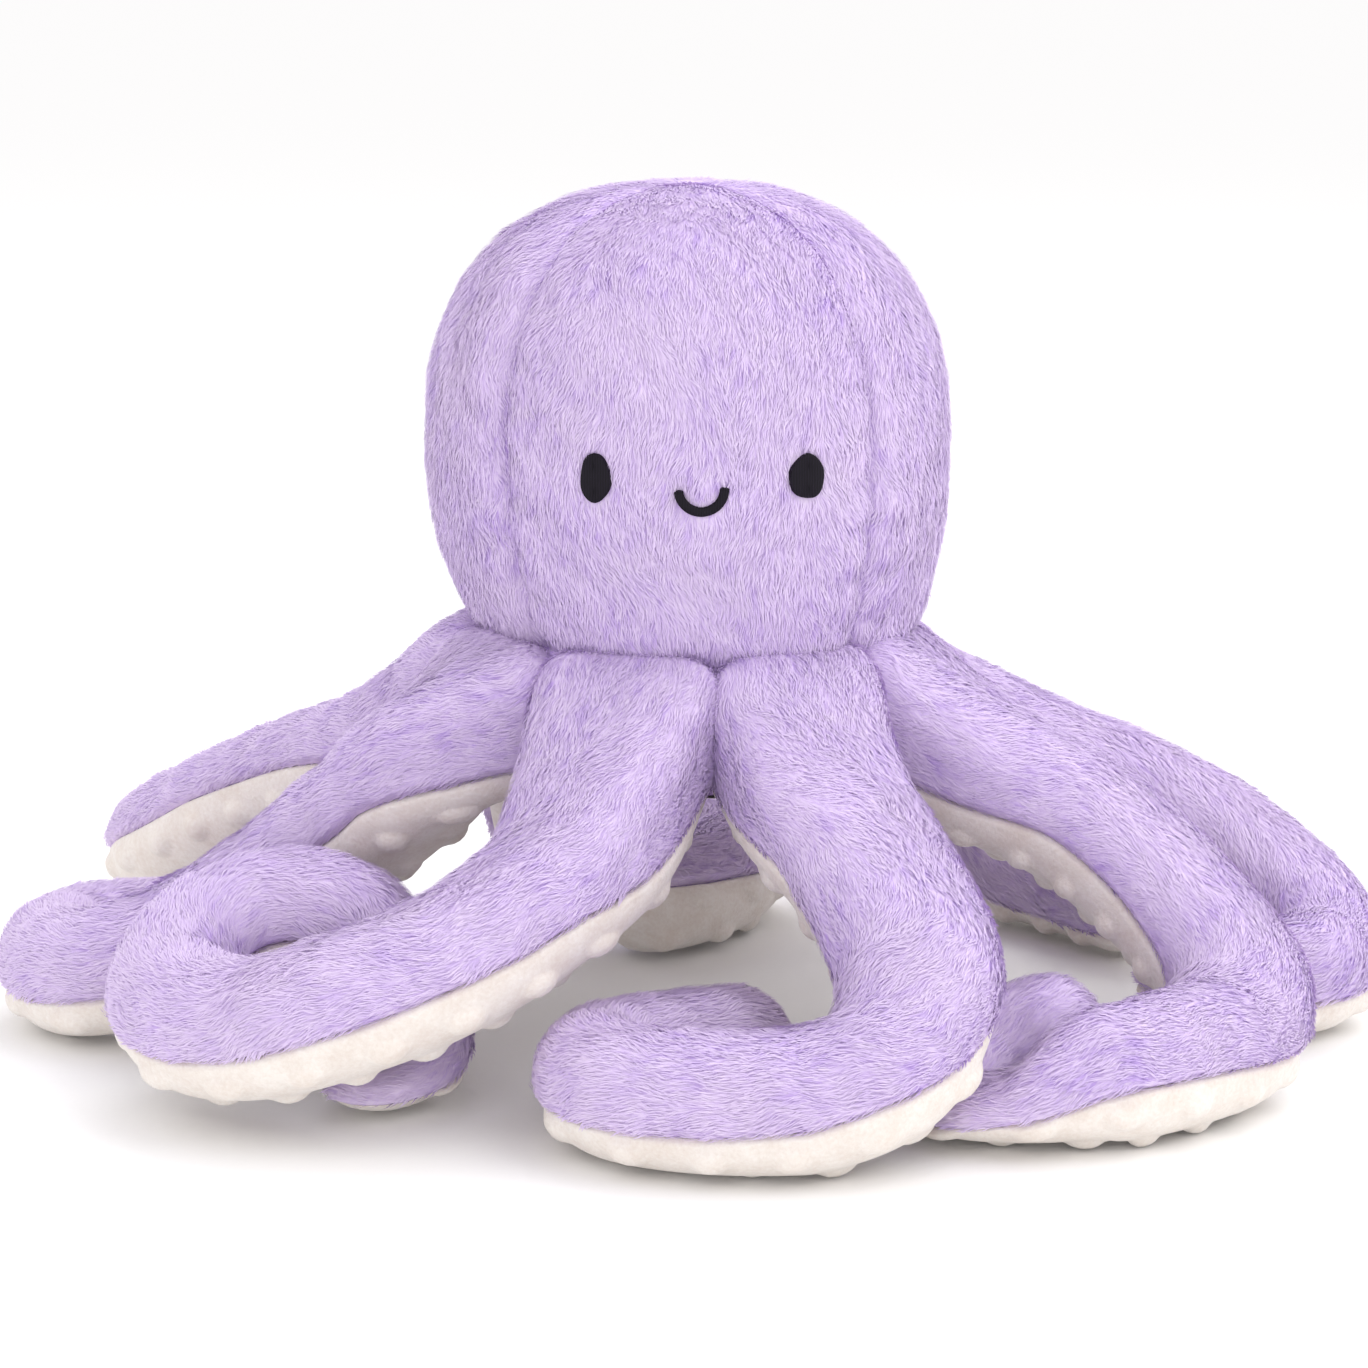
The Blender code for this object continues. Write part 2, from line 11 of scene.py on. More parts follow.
import bpy
import numpy as np
from bpy.props import FloatProperty, FloatVectorProperty, PointerProperty
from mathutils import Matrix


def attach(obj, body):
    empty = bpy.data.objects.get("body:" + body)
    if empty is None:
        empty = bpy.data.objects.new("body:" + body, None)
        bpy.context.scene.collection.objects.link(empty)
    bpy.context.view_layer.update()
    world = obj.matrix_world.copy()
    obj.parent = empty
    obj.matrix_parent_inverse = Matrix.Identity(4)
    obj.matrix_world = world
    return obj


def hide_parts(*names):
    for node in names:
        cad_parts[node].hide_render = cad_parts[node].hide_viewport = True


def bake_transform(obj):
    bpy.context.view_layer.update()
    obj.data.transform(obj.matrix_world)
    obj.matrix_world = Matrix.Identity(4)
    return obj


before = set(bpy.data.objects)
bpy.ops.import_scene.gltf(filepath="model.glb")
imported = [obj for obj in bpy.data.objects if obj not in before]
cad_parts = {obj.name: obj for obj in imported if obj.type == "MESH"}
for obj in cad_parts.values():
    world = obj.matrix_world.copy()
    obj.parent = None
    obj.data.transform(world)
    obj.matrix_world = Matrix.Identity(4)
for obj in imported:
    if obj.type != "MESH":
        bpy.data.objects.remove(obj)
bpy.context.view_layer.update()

bl_info = {
    "name": "Plush octopus",
    "version": (1, 0, 0),
    "blender": (4, 5, 0),
    "location": "3D View > Sidebar > Octopus",
    "description": "A plush octopus with long pile, dotted undersides and a stitched face",
    "category": "Add Mesh",
}

# Where the outline's centring put the toy's own middle line.
SETTLED = np.array((-0.0032763, 0.0048911, 0.0))

# Head: an upright squarish round, widest a little above its middle, in four gores.
HEAD_WIDTH = 0.1970
HEAD_DEPTH = 0.1900
WIDEST_LEVEL = 0.2280
CROWN_RISE = 0.0960
LOWER_DROP = 0.1090
NECK_LEVEL = 0.1570
HEAD_ROUNDNESS = 2.40
HEAD_OFFSET = 0.0014
HEAD_LEAN = 0.0036
HEAD_SWELL = 0.0012
SEAM_DIP = 0.0032
SEAM_WIDTH = 0.0070
PUCKER_DEPTH = 0.0008
PUCKER_SPACING = 0.017
GORE_ANGLE = math.pi / 4
GORE_HEADINGS = {"front": 0.0, "right": 90.0, "back": 180.0, "left": -90.0}

# Face: places and sizes of the stitched patches.
EYE_SPACING = 0.0750
# Each eye: its offset across from the mouth, half width and height, and the turn of its outline.
EYE_FORMS = {
    "left_eye": (-EYE_SPACING / 2 - 0.0006, 0.0056, 0.0089, 0.6),
    "right_eye": (EYE_SPACING / 2, 0.0067, 0.0080, 2.4),
}
MOUTH_TILT = math.radians(4.0)
EYE_LEVEL = 0.2248
MOUTH_CENTRE = 0.0065
MOUTH_WIDTH = 0.0163
MOUTH_SAG = 0.0074
MOUTH_LEVEL = 0.2172
MOUTH_LINE = 0.0034
# The mouth is an arc through its ends and its lowest point: its radius and half its angle.
MOUTH_BEND = ((MOUTH_WIDTH / 2) ** 2 + MOUTH_SAG**2) / (2 * MOUTH_SAG)
MOUTH_SPREAD = math.asin(MOUTH_WIDTH / 2 / MOUTH_BEND)
PATCH_DEPTH = 0.0024
PATCH_CROWN = 0.0010
PATCH_EDGE = 0.0004
PATCH_TUCK = 0.0006
THREAD_RISE = 0.00006

# Body: eight sides under the head, each carrying an arm.
BODY_TURN = 8.0
BODY_APOTHEM = 0.0820
HINGE_LEVEL = 0.1555
BELLY_LEVEL = 0.1010
BELLY_DIP = 0.0070
BODY_INSET = 0.0010
BODY_TUCK = 0.0060
BELLY_GAP = 0.0008
CORNER_SHARE = 1.035
DROOP_ANGLE = math.radians(24.0)
SEWN_GAP = 0.0003

# Arms: sizes at shares of the length, then the section's roundness and the runs over which an
# arm keeps to its own side of the body.
LENGTH_SHARES = (0.0, 0.20, 0.58, 0.88, 1.0)
ARM_WIDTHS = (0.0660, 0.0660, 0.0510, 0.0430, 0.0430)
ARM_HEIGHTS = (0.0560, 0.0560, 0.0530, 0.0480, 0.0480)
TIP_ROUNDING = 0.0210
LYING_SHARE = 0.93
SEAM_RUN = 0.080
SEAM_FADE = 0.020
ROOT_ROUNDNESS = 5.0
ARM_ROUNDNESS = 2.2
SEAM_TURN = math.radians(-12.0)
BEND_RUN = 0.0075

# Each arm's heading from the viewer's side, and its middle line: millimetres to the right and
# away, the share of the rise from lying flat up to the root, roll in degrees (0 where it is left
# out), and the share of its height that an arm keeps where another lies on it (or else 1).
ARM_ROUTES = {
    "front_left": (BODY_TURN - 22.5, (
        (-36, -114.5, 0.64, -12), (-61, -137, 0.45, -16), (-89, -151, 0.32, -16),
        (-120, -157, 0.22, -10), (-147, -152, 0.14, -4), (-170, -138, 0.11), (-183, -114, 0.15),
        (-175, -91, 0.26), (-150, -83, 0.36), (-122, -83, 0.34, 0, 0.95),
        (-103, -90, 0.16, 0, 0.76), (-97, -107, 0.03, 0, 0.6), (-110, -123, 0, 0, 0.48),
        (-130, -127, 0, 0, 0.44))),
    "front_right": (BODY_TURN + 22.5, (
        (48, -98, 0.80), (63, -116, 0.62), (75, -137, 0.46), (82, -160, 0.30, -8),
        (70, -182, 0.10, -14), (40, -189, 0, -8), (6, -188, 0), (-22, -175, 0), (-30, -151, 0),
        (-11, -129, 0), (18, -119, 0), (40, -119, 0))),
    "left_front": (BODY_TURN - 67.5, (
        (-90, -41, 0.84, -4), (-117, -30, 0.59, -12), (-147, -21, 0.35, -14),
        (-174, -29, 0.18, -10), (-206, -41, 0.06), (-234, -32, 0), (-243, -5, 0), (-231, 20, 0),
        (-206, 30, 0), (-182, 22, 0))),
    "left_back": (BODY_TURN - 112.5, (
        (-112, 41, 0.67, -18), (-150, 67, 0.49, -32), (-188, 94, 0.30, -36),
        (-217, 122, 0.13, -26), (-224, 156, 0.02, -10), (-202, 181, 0), (-170, 182, 0),
        (-146, 160, 0))),
    "back_left": (BODY_TURN - 157.5, (
        (-50, 98, 0.72), (-56, 124, 0.38, 6), (-51, 152, 0.08, 20), (-27, 172, 0, 38),
        (4, 169, 0, 30), (23, 146, 0), (16, 112, 0, -32), (-4, 85, 0, -48), (-23, 77, 0, -52),
        (-38, 78, 0, -52))),
    "back_right": (BODY_TURN + 157.5, (
        (37, 108, 0.86), (66, 134, 0.58), (100, 146, 0.22, -6), (132, 137, 0.03, -16),
        (157, 112, 0, -22), (176, 84, 0, -22), (190, 58, 0, -22))),
    "right_back": (BODY_TURN + 112.5, (
        (108, 52, 0.75), (148, 49, 0.58), (182, 45, 0.46), (215, 35, 0.30), (241, 16, 0.13),
        (249, -8, 0.03), (240, -28, 0), (219, -35, 0), (197, -27, 0), (184, -5, 0))),
    "right_front": (BODY_TURN + 67.5, (
        (112, -36, 0.77, 4), (152, -51, 0.57, 12), (183, -70, 0.32, 14), (201, -93, 0.11, 6),
        (195, -119, 0, -8), (173, -142, 0, -18), (147, -157, 0, -18), (120, -160, 0, -10, 0.62),
        (98, -151, 0, 0, 0.5), (90, -129, 0, 0, 0.52), (106, -108, 0, 0, 0.75), (134, -102, 0),
        (154, -103, 0))),
}

# Sewn fabric: how deep under the toy's outline each layer lies, and how far the rows of pile
# that roll in under the head go in, rise and dip.
BACKING_INSET = 0.0050
HEAD_PILE_INSET = 0.0038
DOTTED_INSET = 0.0030
STUFFING_INSET = 0.0058
NECK_FADE = 0.034
NECK_SHARE = 0.2
UNDER_ROWS = (0.0120, 0.0095, 0.0070, 0.0045, 0.0022)
UNDER_RISE = 0.30
UNDER_DIP = 0.0070

# Pile: slow waves as (size, wave length, salt), for the turn of the nap in radians, for a
# strand's lean, for the dense part's depth, for the fibres' own place and for open partings.
NAP_WAVES = ((0.50, 0.090, 0.3), (0.35, 0.031, 5.2))
LEAN_WAVES = ((-0.07, 0.050, 4.4),)
DEPTH_WAVES = ((0.20, 0.034, 0.8), (0.10, 0.0130, 3.1))
FIBRE_WAVES = ((0.0040, 0.045, 1.1), (0.0012, 0.014, 2.7))
PARTING_WAVES = ((0.35, 0.060, 1.9),)
# How much a tuft and a single strand differ from the others in turn and lean.
TUFT_TURN, STRAND_TURN = 0.6, 0.4
TUFT_LEAN, STRAND_LEAN = 0.12, 0.16
# A strand's lower half takes this share of its length and lean, and its parts cling this far.
ELBOW, LOWER_LEAN = 0.55, 0.86
TIP_CLING, ELBOW_CLING = 0.16, 0.07
# The share of a strand's own face in its normals; the rest is the pile's, for soft shading.
FACE_SHARE = 0.08
# At a gore seam: how far the nap turns in, how open the parting is on average, and the shares
# by which the pile is trimmed, sunk and shortened. At the crown it is trimmed as well.
COMB_IN, OPEN_SHARE = 0.2, 0.65
SEAM_TRIM, SEAM_SINK, SEAM_SHORT, CROWN_TRIM = 0.25, 0.6, 0.4, 0.20
# Over a stitched patch the dense pile drops to the first share, and strands may cover the
# second share at its rim; distances from the mouth are measured in the third, a length.
FACE_EDGE, FACE_RIM, FACE_LENGTH = 0.76, 0.04, 0.0060

# Dotted fabric: its staggered rows, the plain share at its seams and length at its tip, and the
# hem that is tucked in along a seam.
ROW_SHARE = 0.866
PLAIN_SHARE = 0.08
PLAIN_TIP = 0.012
HEM_TUCK = 0.0030
HEM_SHARE = 0.06

# Grids: steps along an arm, and points round the head, an arm and half an arm.
STUFFING_STEP, PILE_STEP, DOTTED_STEP = 0.004, 0.003, 0.002
HEAD_ROUND, ARM_ROUND, HALF_ROUND = 144, 48, 61

UP = np.array([0.0, 0.0, 1.0])
FAINT = 1e-9

# The lowest levels of the stuffing, of the pile's backing, of its dense part and of a strand.
STUFFING_FLOOR = 0.0050
BACKING_FLOOR = 0.0030
DENSE_FLOOR = 0.0012
STRAND_FLOOR = 0.0004
STRAND_SINK = 0.0003

# Stage: sizes of the floor, the camera's view of the photograph, and the lamps.
FLOOR_HALF = 22.0
FLOOR_DROP = 0.0006
CAMERA_DISTANCE = 1.40
CAMERA_TILT = math.radians(12.0)
AIM_LEVEL = 0.131
SENSOR_WIDTH = 36.0
LENS = 36.0 * 3636 / 1368
WORLD_STRENGTH = 1.02
LAMP_AIM = np.array([0.0, 0.0, 0.15])
# Each softbox: its place, the side of its square in metres and its power in watts. All of
# them face a point 15 cm above the middle of the floor.
SOFTBOXES = {
    "key_softbox": ((1.4, -0.6, 1.9), 1.8, 17.0),
    "crown_softbox": ((0.4, 0.9, 2.2), 1.8, 15.0),
    "fill_softbox": ((-0.6, -2.0, 0.8), 1.4, 5.0),
}


# ---- small helpers


def srgb(code):
    """Linear RGBA of an sRGB hex value: c/12.92 below 0.04045, else ((c+0.055)/1.055)^2.4."""
    parts = [int(code[k:k + 2], 16) / 255 for k in (1, 3, 5)]
    return [p / 12.92 if p <= 0.04045 else ((p + 0.055) / 1.055) ** 2.4 for p in parts] + [1.0]


def unit(vectors):
    """Each vector divided by its length."""
    return vectors / np.maximum(np.linalg.norm(vectors, axis=-1, keepdims=True), 1e-12)


def heading_vector(degrees):
    """The level direction (sin a, -cos a, 0): towards the viewer at 0, to the right at 90."""
    turn = math.radians(degrees)
    return np.array([math.sin(turn), -math.cos(turn), 0.0])


def chance(cells, salt):
    """A repeatable number from 0 to 1 per cell: the fraction of |sin(k.cell + salt)| 43758.5."""
    return np.modf(np.abs(np.sin(cells @ np.array([127.1, 311.7, 74.7]) + salt)) * 43758.5453)[0]


def slow_wave(points, length, salt):
    """A soft wander from about -1 to 1: the mean of three crossed sines of one wavelength."""
    turns = points * (2 * math.pi / length)
    x, y, z = turns[..., 0], turns[..., 1], turns[..., 2]
    first = np.sin(x + 1.7 * y + salt) + np.sin(1.3 * y - 0.8 * z + 2 * salt)
    return (first + np.sin(1.1 * z + 0.9 * x - y + 3 * salt)) / 3


def ramp(values):
    """Values held between 0 and 1."""
    return np.clip(values, 0.0, 1.0)


def wander(points, waves, start=0.0):
    """A start value plus several slow waves, each with its size, wave length and salt."""
    return sum((size * slow_wave(points, length, salt) for size, length, salt in waves), start)


def full_turn(count):
    """Angles evenly round."""
    return np.linspace(0, 2 * math.pi, count, endpoint=False)


def lay(*parts):
    """Coordinates broadcast together and laid side by side."""
    return np.stack(np.broadcast_arrays(*parts), axis=-1)


def dot(first, second):
    """The dot product of each pair of vectors, kept as a column."""
    return (first * second).sum(axis=1, keepdims=True)


def distance_along(points, axis):
    """For each grid point, the distance from the first one along its column (0) or row (1)."""
    steps = np.linalg.norm(np.diff(points, axis=axis), axis=-1)
    return np.insert(np.cumsum(steps, axis=axis), 0, 0.0, axis=axis)


def grid_normals(points):
    """Unit normals of a grid: the cross product of its two differences along columns and rows."""
    down = np.gradient(points, axis=0)
    across = np.gradient(points, axis=1)
    return unit(np.cross(across, down))


def grid_triangles(points):
    """Two triangles for each cell of a grid of points, numbered row by row."""
    rows, columns = points.shape[:2]
    first = np.arange(rows - 1)[:, None] * columns + np.arange(columns - 1)
    a, b, c, d = first, first + 1, first + columns + 1, first + columns
    return np.stack([a, b, c, a, c, d], axis=-1).reshape(-1, 3)


def fabric_object(name, points, triangles, finish, fields=None, normals=None):
    """An object at the origin from points and triangles, with its values for each point."""
    points = points.reshape(-1, 3)
    mesh = bpy.data.meshes.new(name)
    mesh.vertices.add(len(points))
    mesh.vertices.foreach_set("co", np.ascontiguousarray(points, np.float32).ravel())
    mesh.loops.add(triangles.size)
    mesh.loops.foreach_set("vertex_index", np.ascontiguousarray(triangles, np.int32).ravel())
    mesh.polygons.add(len(triangles))
    mesh.polygons.foreach_set("loop_start", np.arange(0, triangles.size, 3, dtype=np.int32))
    mesh.update(calc_edges=True)
    mesh.validate()
    mesh.shade_smooth()
    for field, values in (fields or {}).items():
        kind, key = ("FLOAT", "value") if np.ndim(values) == 1 else ("FLOAT_VECTOR", "vector")
        layer = mesh.attributes.new(field, kind, "POINT")
        layer.data.foreach_set(key, np.ascontiguousarray(values, np.float32).ravel())
    if normals is not None:
        mesh.normals_split_custom_set_from_vertices(np.ascontiguousarray(normals, np.float32))
    mesh.materials.append(finish)
    made = bpy.data.objects.new(name, mesh)
    bpy.context.scene.collection.objects.link(made)
    return made


# ---- shapes


def head_share(level):
    """The share of the head's half width at a level: (1 - |z/rise|^n)^(1/n) from the widest."""
    rise = np.where(level > WIDEST_LEVEL, CROWN_RISE, LOWER_DROP)
    part = ramp(np.abs(level - WIDEST_LEVEL) / rise)
    return (1.0 - part**HEAD_ROUNDNESS) ** (1.0 / HEAD_ROUNDNESS)


def head_middle(level):
    """How far right the head's middle lies: a fixed offset, and a lean that grows to the neck."""
    below = ramp((WIDEST_LEVEL - level) / (WIDEST_LEVEL - NECK_LEVEL))
    return HEAD_OFFSET + HEAD_LEAN * below**2


def seam_closeness(turn, share):
    """1 on a gore seam and fading over a few millimetres: exp(-(distance / 7 mm)^2)."""
    off = np.abs((turn - GORE_ANGLE) % (2 * GORE_ANGLE))
    off = np.minimum(off, 2 * GORE_ANGLE - off)
    return np.exp(-((off * HEAD_WIDTH / 2 * share / SEAM_WIDTH) ** 2))


def head_point(turn, climb, inset):
    """The head's surface at a turn round it and a climb from 0 at the neck to 1 at the crown.

    The level is neck + height sin(climb 90 degrees); the outline there is an oval of the head's
    share; seams are drawn in by up to 3.2 mm, with shallow puckers where the thread gathers.
    """
    height = WIDEST_LEVEL + CROWN_RISE - inset - NECK_LEVEL
    lift = np.sin(climb * math.pi / 2)
    level = NECK_LEVEL + lift * height
    share = head_share(NECK_LEVEL + lift * (height + inset))
    close = seam_closeness(turn, share)
    pucker = PUCKER_DEPTH * np.sin(level * 2 * math.pi / PUCKER_SPACING + 2 * np.sin(2 * turn))
    wide_close = np.maximum(close, FAINT) ** (1 / 7)
    dip = SEAM_DIP * close + pucker * wide_close * (1 - close)
    swell = HEAD_SWELL * slow_wave(
        lay(np.sin(turn) * share, np.cos(turn) * share, level * 8), 0.9, 0.4)
    across = (HEAD_WIDTH / 2 - inset - dip + swell) * share
    deep = (HEAD_DEPTH / 2 - inset - dip + swell) * share
    middle = head_middle(NECK_LEVEL + lift * (height + inset))
    return lay(middle + across * np.sin(turn), -deep * np.cos(turn), level) + SETTLED


def face_place(x, level):
    """A point on the front of the head, with the ways to its right, up and outwards there."""
    share = float(head_share(np.array(level)))
    turn = math.asin((x - float(head_middle(level))) / (HEAD_WIDTH / 2 * share))
    point = np.array([x, -HEAD_DEPTH / 2 * share * math.cos(turn), level]) + SETTLED
    rise = CROWN_RISE if level > WIDEST_LEVEL else LOWER_DROP
    part = (level - WIDEST_LEVEL) / rise
    slope = abs(part) ** (HEAD_ROUNDNESS - 1) * share ** (1 - HEAD_ROUNDNESS)
    out = unit(np.array([
        math.sin(turn) / (HEAD_WIDTH / 2),
        -math.cos(turn) / (HEAD_DEPTH / 2),
        math.copysign(slope / rise, part),
    ]))
    side = unit(np.cross(UP, out))
    return point, side, np.cross(out, side), out


def body_radius(turn, level):
    """The eight-sided body's radius at a turn and a level, with its corners cut off round."""
    apothem = BODY_APOTHEM - (HINGE_LEVEL - level) * math.tan(DROOP_ANGLE)
    off = (turn - math.radians(BODY_TURN)) % (math.pi / 4) - math.pi / 8
    return np.minimum(apothem / np.cos(off), apothem * CORNER_SHARE)


def hinge_place(name):
    """The top edge of an arm's root, on its seam to the head."""
    out = heading_vector(ARM_ROUTES[name][0])
    return (BODY_APOTHEM + SEWN_GAP) * out + HINGE_LEVEL * UP


def leaving_way(out):
    """The way an arm leaves the body: outwards, and down by its droop."""
    return math.cos(DROOP_ANGLE) * out - math.sin(DROOP_ANGLE) * UP


@functools.lru_cache(maxsize=None)
def arm_line(name):
    """The arm's middle line through its route's points, and the distance along it.

    Between two points b and c, with neighbours a and d, the line is half of
    2b + (c-a)t + (2a-5b+4c-d)t^2 + (3b-a-3c+d)t^3.
    """
    heading, stops = ARM_ROUTES[name]
    out = heading_vector(heading)
    lean = math.sin(DROOP_ANGLE) * out + math.cos(DROOP_ANGLE) * UP
    root = hinge_place(name) - ARM_HEIGHTS[0] / 2 * lean
    stops = [stop + (0.0, 1.0)[len(stop) - 3:] for stop in stops]
    stops = np.array(stops) * (0.001, 0.001, 1.0, 1.0, 1.0)
    stops = np.vstack([(root[0], root[1], 1.0, 0.0, 1.0), stops])
    stops = np.vstack([2 * stops[0] - stops[1], stops, 2 * stops[-1] - stops[-2]])
    a, b, c, d = (stops[k:len(stops) - 3 + k, None] for k in range(4))
    t = np.linspace(0.0, 1.0, 24, endpoint=False)[None, :, None]
    bend, twist = 2 * a - 5 * b + 4 * c - d, 3 * b - a - 3 * c + d
    line = ((2 * b + (c - a) * t + bend * t**2 + twist * t**3) / 2).reshape(-1, 5)
    line = np.vstack([line, stops[-2]])
    travelled = line[:, :3] * (1.0, 1.0, HINGE_LEVEL - ARM_HEIGHTS[0])
    return line, distance_along(travelled, 0), root[2], out


def arm_middle(name, at):
    """Points on the arm's middle line at distances from the root, half sizes and roll there."""
    line, along, root_level, _ = arm_line(name)
    right, away, rise, roll, kept = (np.interp(at, along, line[:, k]) for k in range(5))
    wide = np.interp(at / along[-1], LENGTH_SHARES, ARM_WIDTHS) / 2
    high = np.interp(at / along[-1], LENGTH_SHARES, ARM_HEIGHTS) / 2 * np.minimum(kept, 1.0)
    rest = LYING_SHARE * high
    level = rest + np.maximum(rise, 0.0) * (root_level - rest)
    return lay(right, away, level), wide, high, np.radians(roll)


def arm_point(name, share, angle, inset, floor):
    """The arm's surface at a share of its length and an angle round it.

    The section is a squarish oval, |x/w|^n + |z/h|^n = 1, whose n falls from the root's to the
    arm's; the last 21 mm round off as a quarter circle. Nothing goes below the floor, and near
    the root each arm keeps to its own eighth of the round.
    """
    _, along, _, out = arm_line(name)
    length = along[-1]
    at = share * (length - inset)
    middle, wide, high, roll = arm_middle(name, at)
    ahead = arm_middle(name, np.minimum(at + BEND_RUN, length))[0]
    ahead = unit(ahead - arm_middle(name, np.maximum(at - BEND_RUN, 0.0))[0])
    fade = ramp(at / (2 * BEND_RUN))[..., None]
    ahead = unit(fade * ahead + (1 - fade) * leaving_way(out))
    side = unit(np.cross(ahead, UP))
    up = np.cross(side, ahead)
    turned = (np.cos(roll)[..., None], np.sin(roll)[..., None])
    side, up = turned[0] * side + turned[1] * up, turned[0] * up - turned[1] * side
    left = ramp((1 - share) * length / TIP_ROUNDING)
    rounding = np.sqrt(np.maximum(1.0 - (1.0 - left) ** 2, 0.0))
    power = 2.0 / np.interp(at / length, LENGTH_SHARES[:2], (ROOT_ROUNDNESS, ARM_ROUNDNESS))
    c, s = np.cos(angle), np.sin(angle)
    across = np.sign(c) * np.abs(c) ** power * np.maximum(wide - inset, wide * 0.2) * rounding
    rise = np.sign(s) * np.abs(s) ** power * np.maximum(high - inset, high * 0.2) * rounding
    placed = middle + across[..., None] * side + rise[..., None] * up
    placed[..., 2] = np.maximum(placed[..., 2], floor)
    beside = np.array([-out[1], out[0], 0.0])
    room = (placed @ out) * math.tan(math.pi / 8) - (SEWN_GAP + 0.6 * inset)
    off = placed @ beside
    kept_off = np.maximum(np.minimum(off, room), -room)
    sewn = ramp((SEAM_RUN + SEAM_FADE - at) / SEAM_FADE)
    return placed + ((kept_off - off) * sewn)[..., None] * beside + SETTLED


def arm_shares(name, step):
    """A column of shares along an arm, at even steps and closer together round the tip."""
    length = arm_line(name)[1][-1]
    straight = 1 - TIP_ROUNDING / length
    body = np.linspace(0.0, straight, round(straight * length / step) + 1)
    tip = straight + (1 - straight) * np.sin(np.linspace(0, math.pi / 2, 9))[1:]
    return np.concatenate([body, tip])[:, None]


# ---- pile


def scatter_over(points, spacing, seed):
    """Places evenly scattered over a grid: cells drawn by their area, then a place in the cell.

    Gives a function that reads any grid of values at the places, and the draws' source.
    """
    draw = np.random.default_rng(seed)
    edge = points[:-1, :-1]
    area = np.linalg.norm(np.cross(points[1:, :-1] - edge, points[:-1, 1:] - edge), axis=-1)
    total = np.cumsum(area.ravel())
    count = int(total[-1] / spacing**2)
    picked = np.searchsorted(total, (np.arange(count) + draw.random(count)) / count * total[-1])
    row, column = np.divmod(np.minimum(picked, area.size - 1), area.shape[1])
    u, v = draw.random((2, count))

    def read(values):
        """A grid's values at the places, mixed from the four points round each."""
        shape = (count,) + (1,) * (values.ndim - 2)
        p, q = u.reshape(shape), v.reshape(shape)
        upper = values[row, column] * (1 - q) + values[row, column + 1] * q
        lower = values[row + 1, column] * (1 - q) + values[row + 1, column + 1] * q
        return upper * (1 - p) + lower * p

    return read, draw


def nearest_tuft(points, size):
    """For each place, the nearest of the tuft middles jittered in cells of a size, and its cell."""
    cell = np.floor(points / size)
    best = np.full(len(points), np.inf)
    middle, owner = points.copy(), cell.copy()
    for step in np.ndindex(3, 3, 3):
        other = cell + (np.array(step) - 1)
        jitter = lay(chance(other, 1.3), chance(other, 5.1), chance(other, 9.7))
        place = (other + jitter) * size
        far = ((place - points) ** 2).sum(axis=1)
        closer = far < best
        best = np.where(closer, far, best)
        middle[closer], owner[closer] = place[closer], other[closer]
    return middle, owner


def pile_strands(root, normal, nap, draw, sizes, trim, clear):
    """Flat tapered strands of pile, five points and three triangles each.

    A strand leans from the normal towards the nap, turned by a slow wander, by its tuft and by
    chance; its tip is drawn towards the middle of its tuft, as fibres that cling together. It
    is 0.44 mm wide where a real fibre is about 0.02 mm, so it stands for a wisp of them.
    """
    count = len(root)
    middle, tuft = nearest_tuft(root, sizes.tuft_size)
    gather = middle - root
    gather -= dot(gather, normal) * normal
    turn = wander(root, NAP_WAVES)
    turn += TUFT_TURN * (chance(tuft, 2.2) - 0.5) + STRAND_TURN * (draw.random(count) - 0.5)
    beside = np.cross(normal, nap)
    way = unit(np.cos(turn)[:, None] * nap + np.sin(turn)[:, None] * beside)
    lean = sizes.pile_lean + TUFT_LEAN * (chance(tuft, 3.9) - 0.5)
    lean = wander(root, LEAN_WAVES, lean + STRAND_LEAN * (draw.random(count) - 0.5))
    long = (sizes.pile_length * (0.85 + 0.30 * draw.random(count)) * trim)[:, None]

    def reach(share, leaning, cling):
        """A step from the root: a share of the length that leans, drawn towards its tuft."""
        up, over = np.cos(leaning)[:, None], np.sin(leaning)[:, None]
        return share * long * up * normal + share * long * over * way + cling * gather

    tip, bend = reach(1.0, lean, TIP_CLING), reach(ELBOW, lean * LOWER_LEAN, ELBOW_CLING)
    if clear is not None:
        for _ in range(4):
            shrink = np.where(clear(root + tip), 0.55, 1.0)[:, None]
            tip, bend = tip * shrink, bend * shrink
    wide = sizes.strand_width / 2 * (0.8 + 0.4 * draw.random(count))[:, None]
    thin = wide * unit(np.cross(way, normal))
    strand = root[:, None] + np.stack(
        [-thin, thin, bend + 0.85 * thin, bend - 0.85 * thin, tip], axis=1)
    strand[..., 2] = np.maximum(strand[..., 2], STRAND_FLOOR)
    face = unit(np.cross(strand[:, 2] - strand[:, 0], strand[:, 4] - strand[:, 1]))
    face *= np.sign(dot(face, normal) + FAINT)
    soft = unit((1 - FACE_SHARE) * normal + FACE_SHARE * face)
    triangles = np.array([[0, 1, 2], [0, 2, 3], [3, 2, 4]]) + 5 * np.arange(count)[:, None, None]
    fields = {
        "pile_height": np.tile([0.15, 0.15, 0.55, 0.55, 1.0], count),
        "pile_tone": np.repeat(0.6 * chance(tuft, 7.7) + 0.4 * draw.random(count), 5),
    }
    return strand.reshape(-1, 3), triangles.reshape(-1, 3), np.repeat(soft, 5, axis=0), fields


def fibre_places(points):
    """For each grid point: true distances across and along the nap, softly wandering."""
    across = distance_along(points, 1)
    across = wander(points, FIBRE_WAVES, across - across[:, across.shape[1] // 2][:, None])
    return lay(across, distance_along(points, 0), 0.0)


